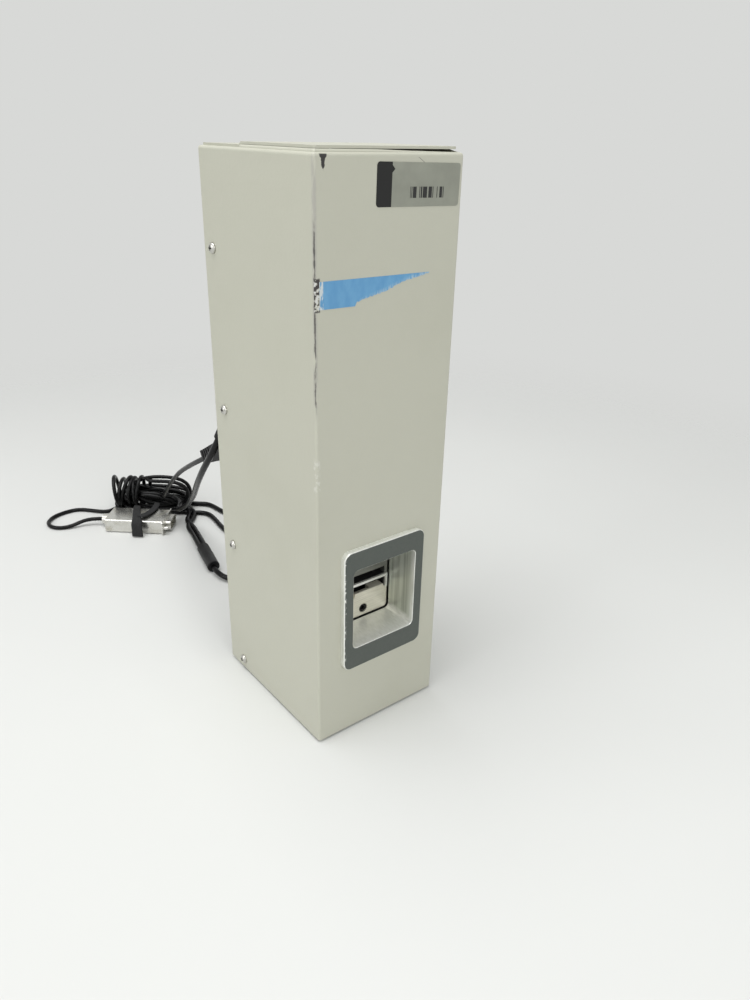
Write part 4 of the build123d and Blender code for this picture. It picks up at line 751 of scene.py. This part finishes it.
# ---------------------------------------------------------------- strip of blue tape
# Half-inch painter's tape across the left of the front. Its left end stops at the fold, and its
# right end is torn away on a slant, which leaves a ragged tongue along the top edge.
tape_left, tape_length, tear_start = -0.0408, 0.0655, -0.0198
steps = np.linspace(0, 1, 60)
tape_x = tape_left + steps * tape_length
upper = 0.26505 - 0.0007 * steps
lower = np.interp(
    tape_x,
    (tape_left, -0.0205, tear_start, -0.0170, -0.0020, 0.0040, 0.0090, 0.0180, 0.0247),
    (0.2526, 0.2523, 0.2540, 0.2549, 0.2577, 0.2600, 0.2614, 0.2627, 0.2641),
)
tear = np.sin(tape_x * 3100) * 0.00022 + np.sin(tape_x * 7300 + 1) * 0.00014
lower = np.minimum(lower + np.where(tape_x > tear_start, tear, 0), upper - 0.0001)
tape_outline = np.vstack([np.column_stack([tape_x, lower]), np.column_stack([tape_x, upper])[::-1]])
tape = flat_label("tape_strip", tape_outline, 0.00012)
crepe, place, feed = finish_of("blue_crepe_paper", 0.7)
x, z = place.axis("X"), place.axis("Z")
fibre = place.noise(90, 4.0, (2.2, 1, 1))
crinkle = place.noise(900, 3.0, (1, 1, 0.25))
shade = fibre.ramp(0.3, 0.75).blend(screen(90, 147, 192), screen(106, 160, 200))
from_tear = z - 0.2526 - (x - tear_start) * 0.27
torn = (0.0030 - from_tear).ramp(0, 0.0024) * (x + 0.0195).ramp(0, 0.003)
lifted = (-0.0385 - x + (crinkle - 0.5) * 0.003).ramp(0, 0.0008)
shade = (torn * crinkle.ramp(0.35, 0.65) * 0.7).blend(shade, screen(176, 194, 204))
shade = (lifted * crinkle.ramp(0.45, 0.52)).blend(shade, screen(198, 206, 208))
feed(base_color=shade, roughness=0.62 + fibre * 0.16, normal=crinkle.bump(0.00008, 0.6))
dress(crepe, tape)

# ---------------------------------------------------------------- bezel
# Machined aluminium in one piece: a grey coated face with its edges cut back to bright metal, and a
# brushed silver recess behind it, whose right wall is painted darker as shade.
bezel_metal, place, feed = finish_of("bezel_metal", 0.35, 0.8)
x, y, z = place.axis("X"), place.axis("Y"), place.axis("Z")
bezel_front = -0.0557
face = (bezel_front + 0.00008 - y).ramp(-0.00004, 0.00002)
nicked = place.noise(640, 3.0)
left_edge = (-0.0266 - x).ramp(0, 0.0012) * nicked.ramp(0.56, 0.60)
coated = face * (1 - left_edge)
tooled = place.noise(220, 4.0, (12, 1, 0.3))
shade = tooled.ramp(0.3, 0.7).blend(screen(246, 247, 243), screen(222, 224, 217))
# the recess's right wall is painted darker than its floor, in vertical streaks: painted shade
shaded_right_wall = (x - 0.0165).ramp(0, 0.002) * (y + 0.0540).ramp(0, 0.003) * (z - 0.0620).ramp(0, 0.003)
streaks = place.noise(110, 3.0, (1, 3, 0.08)).ramp(0.38, 0.62)
shade = shaded_right_wall.blend(shade, streaks.blend(screen(212, 216, 205), screen(180, 184, 172)))
shade = coated.blend(shade, nicked.blend(screen(74, 80, 76), screen(85, 90, 85)))
feed(
    base_color=shade,
    roughness=0.30 + tooled * 0.12 + coated * 0.14,
    metallic=0.50 - coated * 0.30,
    normal=(tooled * (1 - coated) + nicked * coated * 0.7).bump(0.00006, 0.7),
)
dress(bezel_metal, *cad("bezel"))


# ---------------------------------------------------------------- stage
# What the recess shows: the milled block with its pocket and black cap screw, the folded tray,
# with painted shade behind its bright front lip, and the grey gate that the counting slide goes
# through.
def milled(name, light, dark, roughness, grain, metallic=1.0):
    """Cut metal: cutter lines along one direction, a little uneven colour and shallow relief."""
    material, place, feed = finish_of(name, roughness, metallic)
    lines = place.noise(420, 4.0, grain)
    cloud = place.noise(60, 4.0)
    feed(
        base_color=(lines * 0.6 + cloud * 0.4).ramp(0.3, 0.72).blend(screen(*light), screen(*dark)),
        roughness=roughness - 0.06 + lines * 0.14,
        normal=lines.bump(0.00004, 0.6),
    )
    return material


block_metal = milled("stage_block_metal", (232, 229, 214), (210, 206, 190), 0.36, (0.2, 1, 4), 0.45)
dress(block_metal, *cad("stage_block"))
tray_metal, place, feed = finish_of("slide_tray_metal", 0.28, 0.6)
# the tray behind its bright lip is painted near black: painted shade where the slot hides it
shade_behind_lip = (place.axis("Y") + 0.0316).ramp(0, 0.0004)
lines = place.noise(420, 4.0, (0.1, 3, 3))
rolled = lines.ramp(0.3, 0.7)
bright = rolled.blend(screen(240, 240, 236), screen(214, 214, 208))
dark = rolled.blend(screen(52, 52, 51), screen(34, 34, 34))
feed(
    base_color=shade_behind_lip.blend(bright, dark),
    roughness=0.24 + lines * 0.12 + shade_behind_lip * 0.25,
    normal=lines.bump(0.00004, 0.6),
)
dress(tray_metal, *cad("slide_tray", "slide_guides"))
gate_metal = milled("slide_gate_metal", (128, 129, 122), (104, 105, 99), 0.42, (0.2, 1, 4), 0.6)
dress(gate_metal, *cad("slide_gate"))
cap_black = milled("cap_screw_black", (44, 44, 46), (26, 26, 27), 0.4, (3, 0.4, 3), 0.7)
dress(cap_black, *cad("stage_cap_screw"))

# ---------------------------------------------------------------- inner machinery
# Seen only through the recess and the vents: grey anodised plates and blocks, ground rods and lead
# screws with brass nuts, black anodised optics, stepping motors and a green circuit board.
plate_metal = milled("machined_plate", (84, 84, 85), (62, 62, 63), 0.42, (0.15, 2, 2), 0.6)
dress(plate_metal, *cad(
    "stage_carriage", "stage_frame", "column_plate", "focus_carriage", "focus_bracket",
    "camera_bracket", "tube_clamp", "bezel_clamp",
))
ground = milled("ground_steel", (206, 206, 204), (176, 176, 175), 0.16, (4, 0.2, 4))
dress(ground, *cad("guide_rods", "focus_rail"))
zinc = milled("zinc_plate", (188, 187, 180), (156, 156, 152), 0.3, (3, 3, 3))
dress(zinc, *cad(
    "tray_spacers", "board_standoffs", "socket_posts", "column_screws", "bezel_screws",
    "data_socket",
))

# one screw lies along Y and the other stands along Z; both have the same 2 mm pitch
thread_metal, place, feed = finish_of("lead_screw_steel", 0.26, 1.0)
pitch = 0.002
# the grooves between the thread's ridges are painted darker: painted shade, with the bump
ridge = ((place.axis("Y") + place.axis("Z")) * (2 * pi / pitch)).sine() * 0.5 + 0.5
feed(
    base_color=ridge.blend(screen(120, 120, 118), screen(204, 204, 202)),
    roughness=0.22 + ridge * 0.1,
    normal=ridge.bump(0.0003, 0.8),
)
dress(thread_metal, *cad("stage_screw", "focus_screw"))

brass = milled("nut_brass", (206, 176, 108), (176, 144, 80), 0.3, (3, 3, 0.4))
dress(brass, *cad("stage_nut", "focus_nut"))
anodised = milled("black_anodised", (40, 40, 43), (24, 24, 26), 0.36, (2, 2, 0.3), 0.6)
dress(anodised, *cad("camera", "optical_tube", "objective", "lamp_housing", "lamp_cap"))
motor_steel, place, feed = finish_of("motor_case", 0.4, 0.9)
laminated = place.noise(90, 2.0, (1, 16, 16))
feed(
    base_color=laminated.ramp(0.35, 0.65).blend(screen(70, 70, 72), screen(120, 120, 122)),
    roughness=0.34 + laminated * 0.2,
    normal=laminated.bump(0.00008, 0.5),
)
dress(motor_steel, *cad("stage_motor", "focus_motor"))

board_green, place, feed = finish_of("solder_mask", 0.34)
x, z = place.axis("X"), place.axis("Z")
tracks = place.noise(170, 1.0, (1, 1, 4)).between(0.47, 0.53, 0.01)
pads = place.node("ShaderNodeTexVoronoi", inputs={"Vector": place, "Scale": 260.0})
pads = (0.28 - pads).ramp(-0.02, 0.02) * place.noise(40).ramp(0.5, 0.56)
chips = (place.axis("Y") - 0.0278).ramp(-0.0001, 0.0001)
shade = tracks.blend(screen(22, 92, 52), screen(38, 120, 70))
shade = pads.blend(shade, screen(196, 180, 128))
feed(
    base_color=chips.blend(shade, screen(30, 30, 32)),
    roughness=0.3 + chips * 0.2,
    normal=tracks.bump(0.00005, 0.5),
)
dress(board_green, *cad("control_board", "led_board"))

glass, place, feed = finish_of("coated_glass", 0.04)
glass.node_tree.nodes["Principled BSDF"].inputs["Transmission Weight"].default_value = 0.9
bloom = place.noise(60, 2.0)
feed(
    base_color=bloom.blend(screen(226, 236, 240), screen(206, 216, 236)),
    roughness=0.03 + bloom * 0.05,
)
dress(glass, *cad("condenser_lens", "tube_lens", "objective_lens"))

# ---------------------------------------------------------------- mouldings and feet
# Black glass-filled nylon with a fine spark-eroded texture: hood, barrel, supply plug, inlet and
# switch. The rocker is glossier, and the feet are soft black rubber.
moulded, place, feed = finish_of("black_moulding", 0.5, specular=0.3)
spark = place.noise(1500, 3.0)
handled = place.noise(70, 4.0).ramp(0.4, 0.75)
feed(
    base_color=handled.blend(screen(8, 8, 9), screen(20, 20, 21)),
    roughness=0.52 - handled * 0.14,
    normal=spark.bump(0.00010, 0.6),
)
dress(moulded, *cad("data_hood", "supply_barrel", "supply_plug", "power_inlet", "power_switch"))
rocker_black, place, feed = finish_of("rocker_black", 0.3)
worn = place.noise(300, 3.0)
feed(
    base_color=worn.blend(screen(26, 26, 27), screen(42, 42, 43)),
    roughness=0.26 + worn * 0.14,
    normal=worn.bump(0.00004, 0.5),
)
dress(rocker_black, *cad("power_rocker"))
rubber, place, feed = finish_of("foot_rubber", 0.85)
matt = place.noise(800, 3.0)
feed(
    base_color=matt.blend(screen(34, 34, 34), screen(58, 57, 55)),
    roughness=0.78 + matt * 0.16,
    normal=matt.bump(0.0002, 0.6),
)
dress(rubber, *cad("feet"))

# ---------------------------------------------------------------- signal plug
# A shielded connector in a die-cast backshell, nickel plated and dulled by handling. The face has a
# pressed steel shell and two thumb screws.
nickel, place, feed = finish_of("nickel_shell", 0.26, 0.95)
cast = place.noise(260, 4.0)
tarnish = place.noise(90, 4.0).ramp(0.45, 0.75)
feed(
    base_color=tarnish.blend(screen(214, 213, 208), screen(186, 183, 172)),
    roughness=0.20 + cast * 0.06 + tarnish * 0.12,
    normal=cast.bump(0.00002, 0.4),
)
dress(nickel, *cad("signal_plug", "signal_plug_face"))
